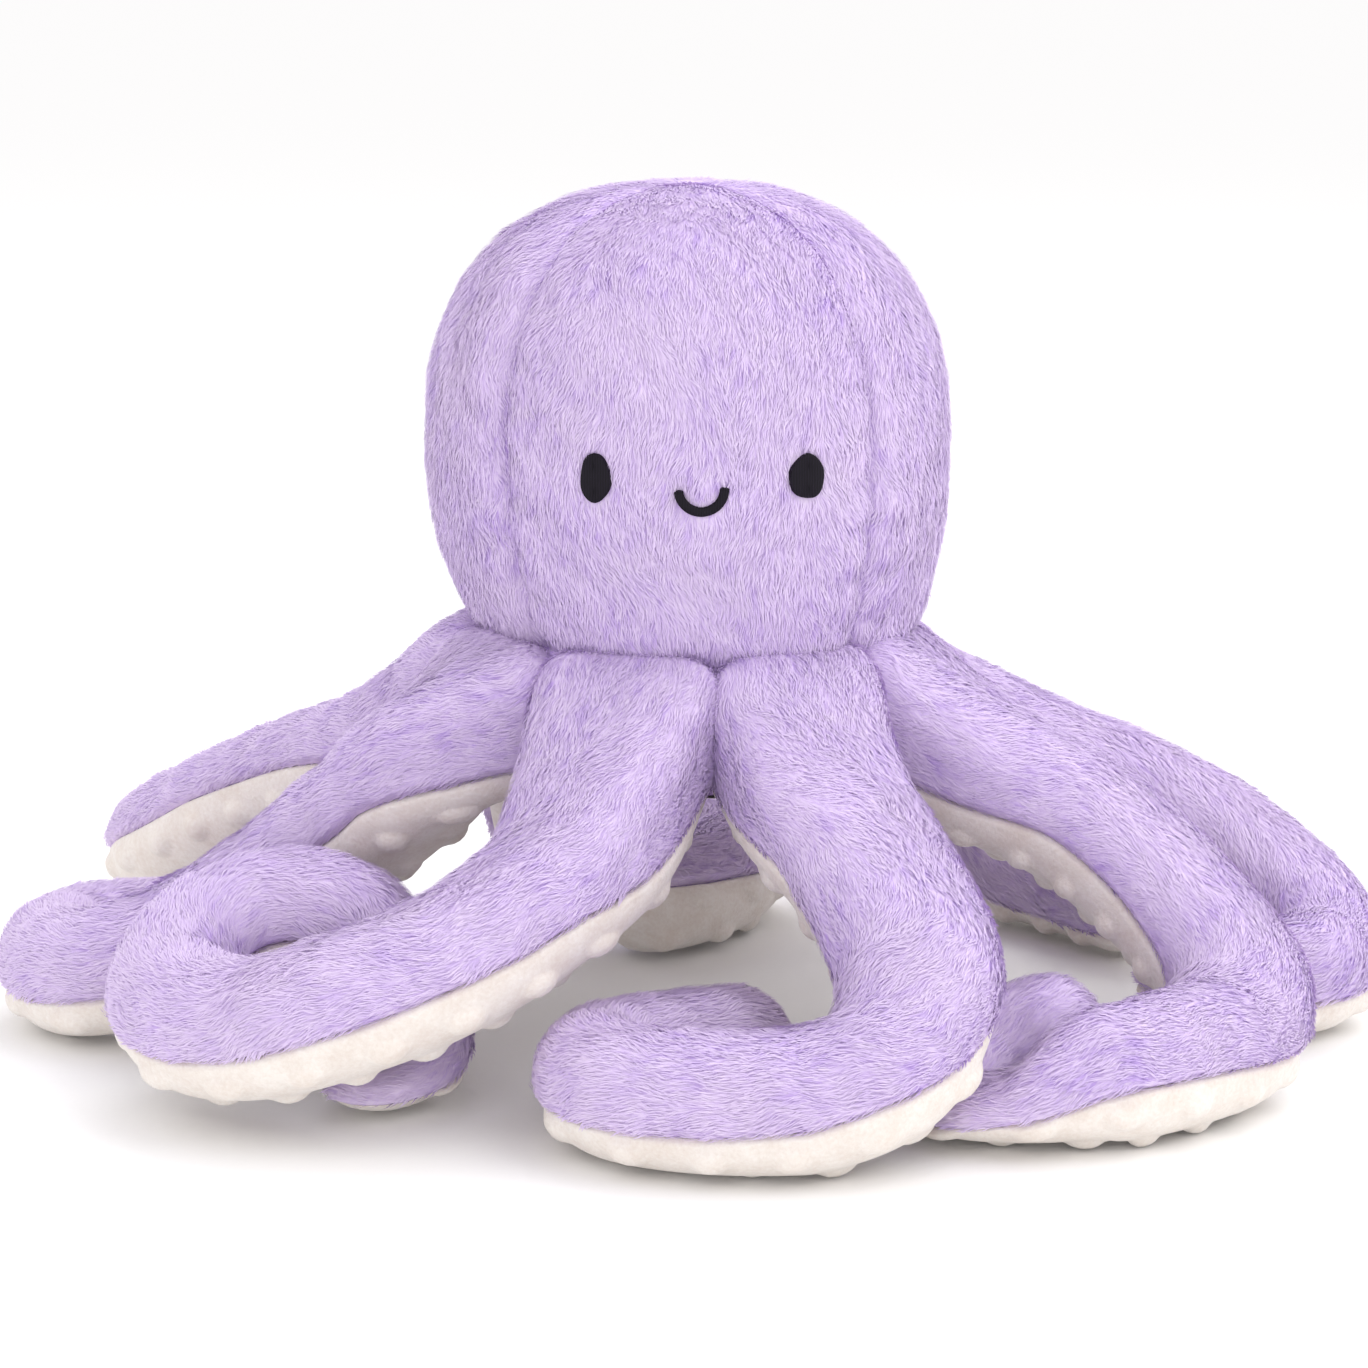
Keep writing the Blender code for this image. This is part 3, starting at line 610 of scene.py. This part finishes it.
def make_pile(name, points, nap, finish, seed, trim=1.0, clear=None, edge=1.0, deep=0.0):
    """The pile over a grid of backing: its dense lower part as one surface, and loose strands.

    The dense part lies at density times trim times 1 plus two slow waves above the backing, and
    comes down to it where edge falls to 0; strands grow out of it, combed along nap. Where deep
    is 1, as along a parting, the pile is painted deep violet at its feet, as painted shade there.
    """
    sizes = bpy.context.scene.octopus_sizes
    flat = np.zeros(points.shape[:2])
    trim, deep = trim + flat, deep + flat
    depth = sizes.pile_density * trim * wander(points, DEPTH_WAVES, 1.0)
    dense = points + (depth * edge)[..., None] * grid_normals(points)
    dense[..., 2] = np.maximum(dense[..., 2], DENSE_FLOOR)
    tops = grid_normals(dense)
    places = fibre_places(points)
    read, draw = scatter_over(points, sizes.strand_spacing, seed)
    normal, comb = unit(read(tops)), read(nap)
    root = read(dense) - STRAND_SINK * normal
    comb = unit(comb - dot(comb, normal) * normal)
    grown = (root, normal, comb, read(places), read(trim), read(deep))
    if clear is not None:
        open_to = ~clear(root)
        grown = [part[open_to] for part in grown]
    root, normal, comb, place, short, parting_shade = grown
    strands, triangles, normals, fields = pile_strands(
        root, normal, comb, draw, sizes, short, clear)
    fields["pile_place"] = np.vstack([places.reshape(-1, 3), np.repeat(place, 5, axis=0)])
    # Painted shade: along a parting the height falls, so the pile there takes the deep violet.
    fields["pile_height"] = np.concatenate(
        [0.15 * (1 - deep.ravel()), fields["pile_height"] * np.repeat(1 - parting_shade, 5)])
    fields["pile_tone"] = np.concatenate([np.full(flat.size, 0.5), fields["pile_tone"]])
    return fabric_object(
        name, np.vstack([dense.reshape(-1, 3), strands]),
        np.vstack([grid_triangles(dense), triangles + flat.size]), finish, fields,
        np.vstack([tops.reshape(-1, 3), normals]))


# ---- materials


def add_node(tree, kind, inputs=None, out=0, **settings):
    """One node with its settings and inputs, each a value or a socket; gives one output."""
    node = tree.nodes.new("ShaderNode" + kind)
    for key, value in settings.items():
        setattr(node, key, value)
    for key, value in (inputs or {}).items():
        if isinstance(value, bpy.types.NodeSocket):
            tree.links.new(value, node.inputs[key])
        else:
            node.inputs[key].default_value = value
    return node.outputs[out]


def noise(tree, place, size, detail=2.0, roughness=0.5):
    """Noise whose coarsest spots are about that size."""
    return add_node(tree, "TexNoise", {
        "Vector": place, "Scale": 1 / size, "Detail": detail, "Roughness": roughness})


def fibre_noise(tree, fibres, width, length, detail, roughness=0.5):
    """Noise in streaks of a width and length that follow the fibres."""
    scale = (1 / width, 1 / length, 1)
    streaks = add_node(tree, "Mapping", {"Vector": fibres, "Scale": scale})
    return noise(tree, streaks, 1.0, detail, roughness)


def remap(tree, value, low, high, top=1.0, base=0.0, shape="LINEAR"):
    """A value carried over from the range low to high to the range base to top."""
    return add_node(
        tree, "MapRange",
        {"Value": value, "From Min": low, "From Max": high, "To Min": base, "To Max": top},
        interpolation_type=shape)


def mix(tree, part, first, second):
    """Two colours mixed by a part from 0 to 1."""
    return add_node(tree, "MixRGB", {"Fac": part, "Color1": first, "Color2": second})


def new_finish(name):
    """An empty material of that name, its node tree and its object coordinates."""
    finish = bpy.data.materials.new(name)
    finish.use_nodes = True
    return finish, finish.node_tree, add_node(finish.node_tree, "TexCoord", out="Object")


def finish_with(finish, colour, roughness, specular, relief=None, **others):
    """Gives the shader its colour, a relief as (height, strength, depth), and its numbers."""
    tree = finish.node_tree
    shader = tree.nodes["Principled BSDF"]
    tree.links.new(colour, shader.inputs["Base Color"])
    if relief:
        bump = add_node(tree, "Bump", dict(zip(("Height", "Strength", "Distance"), relief)))
        tree.links.new(bump, shader.inputs["Normal"])
    others.update({"Roughness": roughness, "Specular IOR Level": specular})
    for key, value in others.items():
        shader.inputs[key.replace("_", " ")].default_value = value
    return finish


def lilac_pile(colours):
    """Brushed polyester pile: fine pale wisps, and short violet shadows painted where they part."""
    finish, tree, place = new_finish("brushed_polyester_pile")
    height, tone, fibres = (
        add_node(tree, "Attribute", out=out, attribute_name=field) for field, out in
        (("pile_height", "Fac"), ("pile_tone", "Fac"), ("pile_place", "Vector")))
    # Fibres cling in wisps 0.9 mm wide and 7 mm long, drawn coarser than single fibres. The
    # deeper root colour between them is partly the pile's own and partly painted shade.
    wisps = fibre_noise(tree, fibres, 0.0009, 0.007, 2.0, 0.6)
    streak = remap(tree, wisps, 0.34, 0.60, shape="SMOOTHSTEP")
    base = mix(tree, streak, colours["root"], colours["tip"])
    # They part in gaps 2.6 mm by 8 mm, most of all in ruffled regions of about 26 mm; the gaps
    # are painted darker violet, as painted shade where the fibres part.
    gaps = fibre_noise(tree, fibres, 0.0026, 0.008, 1.0)
    parted = remap(tree, gaps, 0.48, 0.70, 0.8, shape="SMOOTHSTEP")
    region = remap(tree, noise(tree, place, 0.026), 0.42, 0.60, shape="SMOOTHSTEP")
    gap_shade = add_node(tree, "Math", {0: parted, 1: region}, operation="MULTIPLY")
    shaded = mix(tree, gap_shade, base, colours["fibre"])
    # Strands grow paler towards their tips; their darker feet are partly painted shade among the
    # strands, and along a seam's parting they are painted deep violet, as painted shade there.
    paled = mix(tree, remap(tree, height, 0.15, 1.0, 0.40), shaded, colours["tip"])
    with_parting_shade = mix(tree, remap(tree, height, 0.0, 0.15, 0.0, 1.0), paled, colours["deep"])
    # Some strands are a little darker than their neighbours.
    each = mix(tree, remap(tree, tone, 0.55, 1.0, 0.20), with_parting_shade, colours["fibre"])
    # Dye and wear vary over about 45 mm.
    patch = remap(tree, noise(tree, place, 0.045, 3.0), 0.40, 0.70, 0.45)
    dyed = mix(tree, patch, each, colours["drift"])
    # Clean brushed fibre has little gloss and a pale bloom where it is seen along the surface.
    return finish_with(
        finish, dyed, 0.80, 0.20, (wisps, 0.12, 0.0009),
        Sheen_Weight=0.20, Sheen_Roughness=0.45, Sheen_Tint=colours["tip"])


def knit_backing(colours):
    """Knitted polyester backing under the pile: matt violet with 1.2 mm loops."""
    finish, tree, place = new_finish("knitted_polyester_backing")
    loops = add_node(tree, "TexVoronoi", {"Vector": place, "Scale": 1 / 0.0012}, "Distance")
    knitted = mix(tree, loops, colours["root"], colours["fibre"])
    return finish_with(finish, knitted, 0.95, 0.15, (loops, 0.4, 0.0004))


def dotted_plush(colours):
    """Short sheared plush with raised dots: cream, matt, with a fine pile of about 0.8 mm."""
    finish, tree, place = new_finish("sheared_cream_plush")
    nap = noise(tree, place, 0.0016, 3.0, 0.6)
    both = add_node(tree, "Math", {0: nap, 1: noise(tree, place, 0.012)}, operation="ADD")
    # The deeper cream is partly a real wander of tone and partly painted shade where the pile dips.
    sheared = mix(tree, remap(tree, both, 0.7, 1.3), colours["cream_low"], colours["cream"])
    # Sheared ends stand upright, so the cloth looks dull from in front and pale at its edges.
    return finish_with(finish, sheared, 0.9, 0.2, (nap, 0.55, 0.0007),
                       Sheen_Weight=0.35, Sheen_Roughness=0.5)


def satin_thread(colours):
    """Black rayon satin stitch: threads 0.45 mm apart with a soft gloss."""
    finish, tree, place = new_finish("black_satin_stitch")
    threads = add_node(
        tree, "TexWave",
        {"Vector": place, "Scale": 1 / 0.0030, "Distortion": 1.2, "Detail": 1.0},
        "Fac", bands_direction="X")
    # Painted shade: the black between the raised threads is painted deeper, as shade in the
    # grooves.
    stitched = mix(tree, threads, colours["thread_low"], colours["thread"])
    return finish_with(finish, stitched, 0.62, 0.20, (threads, 0.5, 0.0002))


def studio_paper():
    """Matt white background paper, with a grain drawn at 2.5 mm, coarser than real paper's."""
    finish, tree, place = new_finish("matt_white_paper")
    grain = mix(tree, noise(tree, place, 0.0025), srgb("#F9F9F9"), srgb("#FCFCFC"))
    return finish_with(finish, grain, 1.0, 0.0)


def chosen_colours():
    """The panel's colours as linear RGBA."""
    group = bpy.context.scene.octopus_colours
    return {key: list(getattr(group, key)) for key in group.__annotations__}


def finish_named(name, make):
    """The material of that name, made from the panel's colours the first time."""
    return bpy.data.materials.get(name) or make(chosen_colours())


# ---- settings


def size_property(name, description, default, low, high, **kind):
    """A setting with its default and limits: a length, unless another kind is given."""
    return FloatProperty(
        name=name, description=description, default=default, min=low, max=high,
        **(kind or {"unit": "LENGTH"}))


class OctopusSizes(bpy.types.PropertyGroup):
    """Sizes of the pile and of the dots."""

    pile_length: size_property(
        "Pile length", "Length of the longest strands", 0.0058, 0.002, 0.020)
    pile_density: size_property(
        "Dense pile", "Depth of the dense lower part of the pile", 0.0036, 0.0, 0.010)
    pile_lean: size_property(
        "Pile lean", "How far the strands lie over", math.radians(78), 0.0, 1.4,
        subtype="ANGLE")
    strand_width: size_property(
        "Strand width", "Width of a strand at its root", 0.00044, 0.0002, 0.003)
    strand_spacing: size_property(
        "Strand spacing", "Distance between strands", 0.00096, 0.0006, 0.004)
    tuft_size: size_property(
        "Tuft size", "Distance between tufts of clinging strands", 0.0044, 0.002, 0.02)
    dot_spacing: size_property(
        "Dot spacing", "Distance between raised dots", 0.0240, 0.01, 0.05)
    dot_width: size_property("Dot width", "Width of a raised dot", 0.0135, 0.004, 0.03)
    dot_height: size_property("Dot height", "Height of a raised dot", 0.0029, 0.0005, 0.006)


def colour_property(name, description, code):
    """A colour with its default from an sRGB hex value."""
    return FloatVectorProperty(
        name=name, description=description, default=srgb(code), size=4, min=0.0, max=1.0,
        subtype="COLOR")


class OctopusColours(bpy.types.PropertyGroup):
    """Colours of the fabrics and the thread."""

    tip: colour_property("Pile tips", "Palest colour, at the strands' tips", "#E1D0EF")
    # Darker strands, and also painted shade in the gaps where the wisps part.
    fibre: colour_property("Pile fibre", "Colour of the darker strands", "#BB9DE0")
    # Partly painted shade: the roots' deeper lilac also stands for shade between the wisps.
    root: colour_property("Pile roots", "Colour between the wisps", "#D3BDEA")
    # Painted shade: the deep violet stands for shade down in the seam partings.
    deep: colour_property("Pile deep down", "Colour in a parting, at the fibres' feet", "#9A78C6")
    drift: colour_property("Pile drift", "Colour that the pile drifts to", "#E0D0EB")
    cream: colour_property("Underside", "Cream of the dotted fabric", "#EEE8E2")
    # Partly the cream's own tone, partly painted shade where the short pile dips.
    cream_low: colour_property("Underside shade", "Deeper cream in its short pile", "#E0D5CC")
    thread: colour_property("Thread", "Black of the satin stitch", "#150F1D")
    # Painted shade in the grooves between the threads.
    thread_low: colour_property("Thread shade", "Black between the threads", "#0C0811")


# ---- pieces


def bend_with_arm(piece):
    """Bakes the piece's placement into its points."""
    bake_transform(piece)


def closed_tube(points, poles=True):
    """Points and outward triangles of a closed form: rings joined round, with a pole at each end.

    Without poles the first and last rings are already folded flat, as along a patch's middle
    line, and points that fall together there are joined.
    """
    rows, count = points.shape[:2]
    sides = grid_triangles(np.empty((rows, count + 1)))
    row, column = np.divmod(sides, count + 1)
    sides = row * count + column % count
    if poles:
        ring, last = np.append(np.arange(count), 0), (rows - 1) * count
        pole = np.full(count, rows * count)
        low = np.stack([ring[1:], ring[:-1], pole], axis=-1)
        high = np.stack([last + ring[:-1], last + ring[1:], pole + 1], axis=-1)
        sides = np.vstack([sides, low, high])
        points = np.vstack(
            [points.reshape(-1, 3), points[0].mean(axis=0), points[-1].mean(axis=0)])
    else:
        flat = points.reshape(-1, 3)
        _, kept, owner = np.unique(
            np.round(flat / 1e-7), axis=0, return_index=True, return_inverse=True)
        points, sides = flat[kept], owner.reshape(-1)[sides]
        sides = sides[(sides != np.roll(sides, 1, axis=1)).all(axis=1)]
    a, b, c = (points[sides[:, k]] - points[0] for k in range(3))
    volume = (a * np.cross(b, c)).sum()
    return points, sides if volume > 0 else sides[:, ::-1]


class OCTOPUS_OT_stuffed_forms(bpy.types.Operator):
    """Make the stuffed head and body and the eight stuffed arms, in the pile's backing fabric"""

    bl_idname = "octopus.stuffed_forms"
    bl_label = "Stuffed forms"

    def execute(self, context):
        backing = finish_named("knitted_polyester_backing", knit_backing)
        turn = full_turn(HEAD_ROUND)[None, :]
        head = head_point(turn, np.linspace(0, 1, 60)[:, None], BACKING_INSET)
        climb = np.linspace(0, 1, 12)[:, None]
        level = BELLY_LEVEL + climb * (HINGE_LEVEL - BELLY_LEVEL)
        radius = body_radius(turn, level) - BODY_INSET - BODY_TUCK * climb**2
        body = lay(radius * np.sin(turn), -radius * np.cos(turn), level) + SETTLED
        tube = closed_tube(np.concatenate([body, head]))
        form = fabric_object("head_and_body_stuffed", *tube, backing)
        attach(form, "head_and_body")
        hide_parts("head_and_body_filling")
        angle = full_turn(ARM_ROUND)[None, :]
        for name in ARM_ROUTES:
            share = arm_shares(name, STUFFING_STEP)[:-1]
            tube = closed_tube(arm_point(name, share, angle, STUFFING_INSET, STUFFING_FLOOR))
            form = fabric_object(f"{name}_arm_stuffed", *tube, backing)
            bend_with_arm(form)
            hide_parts(f"{name}_arm_filling")
        return {"FINISHED"}


def mouth_place():
    """The middle of the mouth, with its own right and up, turned by its tilt, and outwards."""
    point, side, up, out = face_place(MOUTH_CENTRE, MOUTH_LEVEL)
    c, s = math.cos(MOUTH_TILT), math.sin(MOUTH_TILT)
    return point, c * side + s * up, c * up - s * side, out


def off_the_face(points):
    """How far points lie outside the nearest stitched patch, as a share of an eye's half width."""
    nearest = np.full(points.shape[:-1], 9.0)
    for offset, wide, high, _ in EYE_FORMS.values():
        place, side, up, _ = face_place(MOUTH_CENTRE + offset, EYE_LEVEL)
        across, above = (points - place) @ side, (points - place) @ up
        nearest = np.minimum(nearest, np.hypot(across / wide, above / high) - 1)
    place, side, up, _ = mouth_place()
    across, above = (points - place) @ side, (points - place) @ up - (MOUTH_BEND - MOUTH_SAG / 2)
    beside = np.abs(np.hypot(across, above) - MOUTH_BEND) - MOUTH_LINE / 2
    past = (np.abs(np.arctan2(across, -above)) - MOUTH_SPREAD) * MOUTH_BEND
    return np.minimum(nearest, np.maximum(beside, past) / FACE_LENGTH)


def clear_of_face(points):
    """True for points over a stitched patch, apart from a rim that the pile may cover."""
    return off_the_face(points) < -FACE_RIM


class OCTOPUS_OT_head_pile(bpy.types.Operator):
    """Make the long pile of the four head panels, parted along their seams"""

    bl_idname = "octopus.head_pile"
    bl_label = "Head pile"

    def execute(self, context):
        finish = finish_named("brushed_polyester_pile", lilac_pile)
        for seed, (side, heading) in enumerate(GORE_HEADINGS.items()):
            turn = math.radians(heading) + np.linspace(-GORE_ANGLE, GORE_ANGLE, 91)[None, :]
            climb = np.linspace(-0.035, 1.0, 124)[:, None]
            points = head_point(turn, climb, HEAD_PILE_INSET)[::-1]
            close = seam_closeness(turn, head_share(points[..., 2]))
            # The nap runs down, and a little in from both seams; near a seam the pile is
            # combed apart, shorter and more open in some places than in others.
            inwards = -np.sign(turn - math.radians(heading))
            across = lay(np.cos(turn), np.sin(turn), 0.0) * inwards[..., None]
            nap = unit(np.gradient(points, axis=0)) + COMB_IN * close[..., None] * across
            parted = np.maximum(close, FAINT) ** 9 * wander(points, PARTING_WAVES, OPEN_SHARE)
            trim = (1.0 - SEAM_TRIM * close) * (1.0 - CROWN_TRIM * ramp(climb[::-1] * 3 - 2))
            trim = trim * (1 - SEAM_SHORT * parted)
            edge, clear = 1 - SEAM_SINK * parted, None
            if side == "front":
                edge = edge * np.clip(FACE_EDGE + 0.4 * off_the_face(points), FACE_EDGE, 1)
                clear = clear_of_face
            points, nap, trim, edge, parted = (
                grid[:, ::-1] for grid in (points, nap, trim, edge, parted))
            # The parting is also painted deep violet along each seam, as painted shade.
            pile = make_pile(
                f"head_{side}_pile", points, nap, finish, 11 + seed, trim, clear, edge, parted)
            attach(pile, "head_and_body")
            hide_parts(f"head_{side}_panel")
        return {"FINISHED"}


class OCTOPUS_OT_arm_pile(bpy.types.Operator):
    """Make the long pile on the tops of the eight arms, combed from root to tip"""

    bl_idname = "octopus.arm_pile"
    bl_label = "Arm pile"

    def execute(self, context):
        finish = finish_named("brushed_polyester_pile", lilac_pile)
        for seed, name in enumerate(ARM_ROUTES):
            share = arm_shares(name, PILE_STEP)
            angle = np.linspace(math.pi - SEAM_TURN, SEAM_TURN, HALF_ROUND)[None, :]
            near = ramp(share * arm_line(name)[1][-1] / NECK_FADE)
            inset = BACKING_INSET * (NECK_SHARE + (1 - NECK_SHARE) * near**2 * (3 - 2 * near))
            points = arm_point(name, share, angle, inset, BACKING_FLOOR)
            back = np.array(UNDER_ROWS)[:, None, None]
            under = SETTLED + (points[:1] - SETTLED) * (1 - back / BODY_APOTHEM * (1, 1, 0))
            under[..., 2:] += UNDER_RISE * back - UNDER_DIP * (back / UNDER_ROWS[0]) ** 2
            points = np.concatenate([under, points])
            nap = unit(np.gradient(points, axis=0))
            side = ramp((1 - np.abs(np.linspace(-1, 1, HALF_ROUND))) / 0.05)[None, :]
            pile = make_pile(f"{name}_arm_pile", points, nap, finish, 31 + seed,
                             edge=np.sin(side * math.pi / 2))
            bend_with_arm(pile)
            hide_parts(f"{name}_arm_top")
        return {"FINISHED"}


def dot_rise(u, v, sizes):
    """The height of raised dots on a staggered net: h (1 - (d/r)^2.5)^1.3 at d from a middle."""
    step = sizes.dot_spacing
    row = np.round(v / (step * ROW_SHARE))
    across = v - row * step * ROW_SHARE
    shift = np.where(row % 2 == 0, 0.0, step / 2)
    along = (u - shift + step / 2) % step - step / 2
    part = ramp(np.hypot(along, across) / (sizes.dot_width / 2))
    return sizes.dot_height * (1 - part**2.5) ** 1.3


class OCTOPUS_OT_dotted_undersides(bpy.types.Operator):
    """Make the cream undersides of the arms, with rows of raised dots"""

    bl_idname = "octopus.dotted_undersides"
    bl_label = "Dotted undersides"

    def execute(self, context):
        sizes = context.scene.octopus_sizes
        finish = finish_named("sheared_cream_plush", dotted_plush)
        for name in ARM_ROUTES:
            length = arm_line(name)[1][-1]
            share = arm_shares(name, DOTTED_STEP)
            angle = np.linspace(SEAM_TURN, -math.pi - SEAM_TURN, HALF_ROUND)[None, :]
            points = arm_point(name, share, angle, DOTTED_INSET, DOTTED_INSET)
            girth = distance_along(points, 1)
            v = girth - girth[:, HALF_ROUND // 2, None]
            u = share * length + 0 * v
            edge = np.abs(np.linspace(-1, 1, HALF_ROUND))[None, :]
            rise = dot_rise(u, v, sizes) * ramp((1 - edge) / PLAIN_SHARE)
            rise = rise * ramp((1 - share) * length / PLAIN_TIP)
            tuck = -HEM_TUCK * ramp((edge - (1 - HEM_SHARE)) / HEM_SHARE) ** 2
            points = points + (rise + tuck)[..., None] * grid_normals(points)
            points[..., 2] = np.maximum(points[..., 2], 0.0)
            fabric = fabric_object(
                f"{name}_arm_dotted_underside", points, grid_triangles(points), finish)
            bend_with_arm(fabric)
            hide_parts(f"{name}_arm_underside")
        return {"FINISHED"}


class OCTOPUS_OT_belly(bpy.types.Operator):
    """Make the dotted panel that closes the body between the arms"""

    bl_idname = "octopus.belly"
    bl_label = "Belly"

    def execute(self, context):
        sizes = context.scene.octopus_sizes
        finish = finish_named("sheared_cream_plush", dotted_plush)
        turn = np.linspace(0, 2 * math.pi, 97)[None, :]
        part = np.linspace(1.0, 0.0, 31)[:, None]
        radius = body_radius(turn, BELLY_LEVEL) * part
        level = BELLY_LEVEL - BELLY_GAP - BELLY_DIP * (1 - part**2)
        x, y = radius * np.sin(turn), -radius * np.cos(turn)
        rise = dot_rise(x, y, sizes) * ramp((1 - part) / 0.1)
        points = lay(x, y, level - rise) + SETTLED
        fabric = fabric_object("belly_dotted_panel", points, grid_triangles(points), finish)
        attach(fabric, "head_and_body")
        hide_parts("belly_panel")
        return {"FINISHED"}


def stitched_patch(name, outline, middle_line, place, finish):
    """A padded patch of satin stitch: ridged threads that run out from its middle line.

    With the part going from 0 at the middle line to 1 at the edge, it reaches out by
    sin(part 90 degrees) and stands up by cos(part 90 degrees), so its section is a quarter
    oval; every second thread stands a tenth of a millimetre higher.
    """
    point, side, up, out = place
    part = np.linspace(0.0, 1.0, 14)[:, None, None]
    flat = middle_line[None] + (outline - middle_line)[None] * np.sin(part * math.pi / 2)
    threads = THREAD_RISE * np.cos(np.arange(len(outline)) * math.pi)[None, :]
    level = PATCH_EDGE + PATCH_CROWN * np.cos(part[..., 0] * math.pi / 2)
    level = level + threads * (np.abs(part[..., 0] - 0.5) < 0.47)
    flat = np.concatenate([flat, outline[None], outline[None], middle_line[None]])
    low = np.array([-PATCH_TUCK, -PATCH_DEPTH, -PATCH_DEPTH])[:, None] + 0 * threads
    level = np.concatenate([level, low])
    points = point + flat[..., :1] * side + flat[..., 1:] * up + level[..., None] * out
    return fabric_object(name, *closed_tube(points, poles=False), finish)


def arc(radius, turn):
    """Points on a circle round the origin, whose lowest point is at turn 0."""
    return lay(radius * np.sin(turn), -radius * np.cos(turn))


class OCTOPUS_OT_face(bpy.types.Operator):
    """Make the two eyes and the mouth in padded satin stitch"""

    bl_idname = "octopus.face"
    bl_label = "Face"

    def execute(self, context):
        finish = finish_named("black_satin_stitch", satin_thread)
        turn = full_turn(96)
        for name, (offset, wide, high, phase) in EYE_FORMS.items():
            # The edge wanders by a few tenths of a millimetre, as stitches that end in pile do.
            wobble = 1 + 0.035 * np.cos(3 * turn + phase) + 0.02 * np.cos(5 * turn + 2 * phase)
            oval = lay(wide * wobble * np.cos(turn), high * wobble * np.sin(turn))
            spine = lay(0 * turn, 0.42 * high * np.sin(turn))
            place = face_place(MOUTH_CENTRE + offset, EYE_LEVEL)
            eye = stitched_patch(f"{name}_stitched", oval, spine, place, finish)
            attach(eye, "head_and_body")
            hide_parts(name)
        along = np.linspace(-MOUTH_SPREAD, MOUTH_SPREAD, 70)
        cap = np.linspace(0, math.pi, 12)[1:-1, None]
        line = MOUTH_LINE / 2
        sides = [arc(MOUTH_BEND + line, along), arc(MOUTH_BEND - line, along)[::-1]]
        caps = []
        for end, way in ((MOUTH_SPREAD, 1), (-MOUTH_SPREAD, -1)):
            ahead = lay(math.cos(end), math.sin(end))
            reach = way * (np.cos(cap) * arc(1.0, end) + 0.5 * np.sin(cap) * ahead)
            caps.append(arc(MOUTH_BEND, end) + line * reach)
        outline = np.vstack([sides[0], caps[0], sides[1], caps[1]])
        turned = np.arctan2(outline[:, 0], -outline[:, 1])
        spine = arc(MOUTH_BEND, np.clip(turned, -MOUTH_SPREAD, MOUTH_SPREAD))
        lift = np.array([0.0, MOUTH_BEND - MOUTH_SAG / 2])
        mouth = stitched_patch(
            "mouth_stitched", outline + lift, spine + lift, mouth_place(), finish)
        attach(mouth, "head_and_body")
        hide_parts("mouth")
        return {"FINISHED"}


class OCTOPUS_OT_stage(bpy.types.Operator):
    """Make the pale floor, the soft studio light and the camera"""

    bl_idname = "octopus.stage"
    bl_label = "Stage"

    def execute(self, context):
        scene = context.scene
        corners = np.array([[-1, -1, 0], [1, -1, 0], [1, 1, 0], [-1, 1, 0]]) * FLOOR_HALF
        corners[:, 2] = -FLOOR_DROP
        floor = fabric_object(
            "studio_floor", corners, np.array([[0, 1, 2], [0, 2, 3]]), studio_paper())
        world = bpy.data.worlds.new("soft_studio")
        world.use_nodes = True
        background = world.node_tree.nodes["Background"]
        background.inputs["Color"].default_value = (1.0, 0.99, 0.99, 1.0)
        background.inputs["Strength"].default_value = WORLD_STRENGTH
        scene.world = world
        for name, (place, size, power) in SOFTBOXES.items():
            light = bpy.data.lights.new(name, "AREA")
            light.energy, light.size = power, size
            lamp = bpy.data.objects.new(name, light)
            way = LAMP_AIM - np.array(place)
            lamp.location = place
            lamp.rotation_euler = (
                math.atan2(math.hypot(way[0], way[1]), -way[2]), 0.0, math.atan2(-way[0], way[1]))
            scene.collection.objects.link(lamp)
        camera = bpy.data.objects.new("camera", bpy.data.cameras.new("camera"))
        camera.data.sensor_width = SENSOR_WIDTH
        camera.data.lens = LENS
        away = np.array([0.0, -math.cos(CAMERA_TILT), math.sin(CAMERA_TILT)])
        camera.location = SETTLED + AIM_LEVEL * UP + CAMERA_DISTANCE * away
        camera.rotation_euler = (math.pi / 2 - CAMERA_TILT, 0.0, 0.0)
        scene.collection.objects.link(camera)
        scene.camera = camera
        scene.view_settings.view_transform = "Standard"
        return {"FINISHED"}


class OCTOPUS_PT_panel(bpy.types.Panel):
    """The octopus's settings and its pieces"""

    bl_idname = "OCTOPUS_PT_panel"
    bl_label = "Plush octopus"
    bl_space_type = "VIEW_3D"
    bl_region_type = "UI"
    bl_category = "Octopus"

    def draw(self, context):
        for group in (context.scene.octopus_sizes, context.scene.octopus_colours):
            column = self.layout.column()
            for key in group.__annotations__:
                column.prop(group, key)
        for piece in PIECES:
            self.layout.operator(piece.bl_idname)


PIECES = (
    OCTOPUS_OT_stuffed_forms,
    OCTOPUS_OT_head_pile,
    OCTOPUS_OT_arm_pile,
    OCTOPUS_OT_dotted_undersides,
    OCTOPUS_OT_belly,
    OCTOPUS_OT_face,
    OCTOPUS_OT_stage,
)
CLASSES = (OctopusSizes, OctopusColours) + PIECES + (OCTOPUS_PT_panel,)


def register():
    """Registers the classes and puts the settings on the scene."""
    for item in CLASSES:
        bpy.utils.register_class(item)
    bpy.types.Scene.octopus_sizes = PointerProperty(type=OctopusSizes)
    bpy.types.Scene.octopus_colours = PointerProperty(type=OctopusColours)


def unregister():
    """Takes the settings and the classes away again."""
    del bpy.types.Scene.octopus_colours
    del bpy.types.Scene.octopus_sizes
    for item in reversed(CLASSES):
        bpy.utils.unregister_class(item)


def main():
    register()
    bpy.ops.octopus.stuffed_forms()
    bpy.ops.octopus.head_pile()
    bpy.ops.octopus.arm_pile()
    bpy.ops.octopus.dotted_undersides()
    bpy.ops.octopus.belly()
    bpy.ops.octopus.face()
    bpy.ops.octopus.stage()


if __name__ == "__main__":
    main()
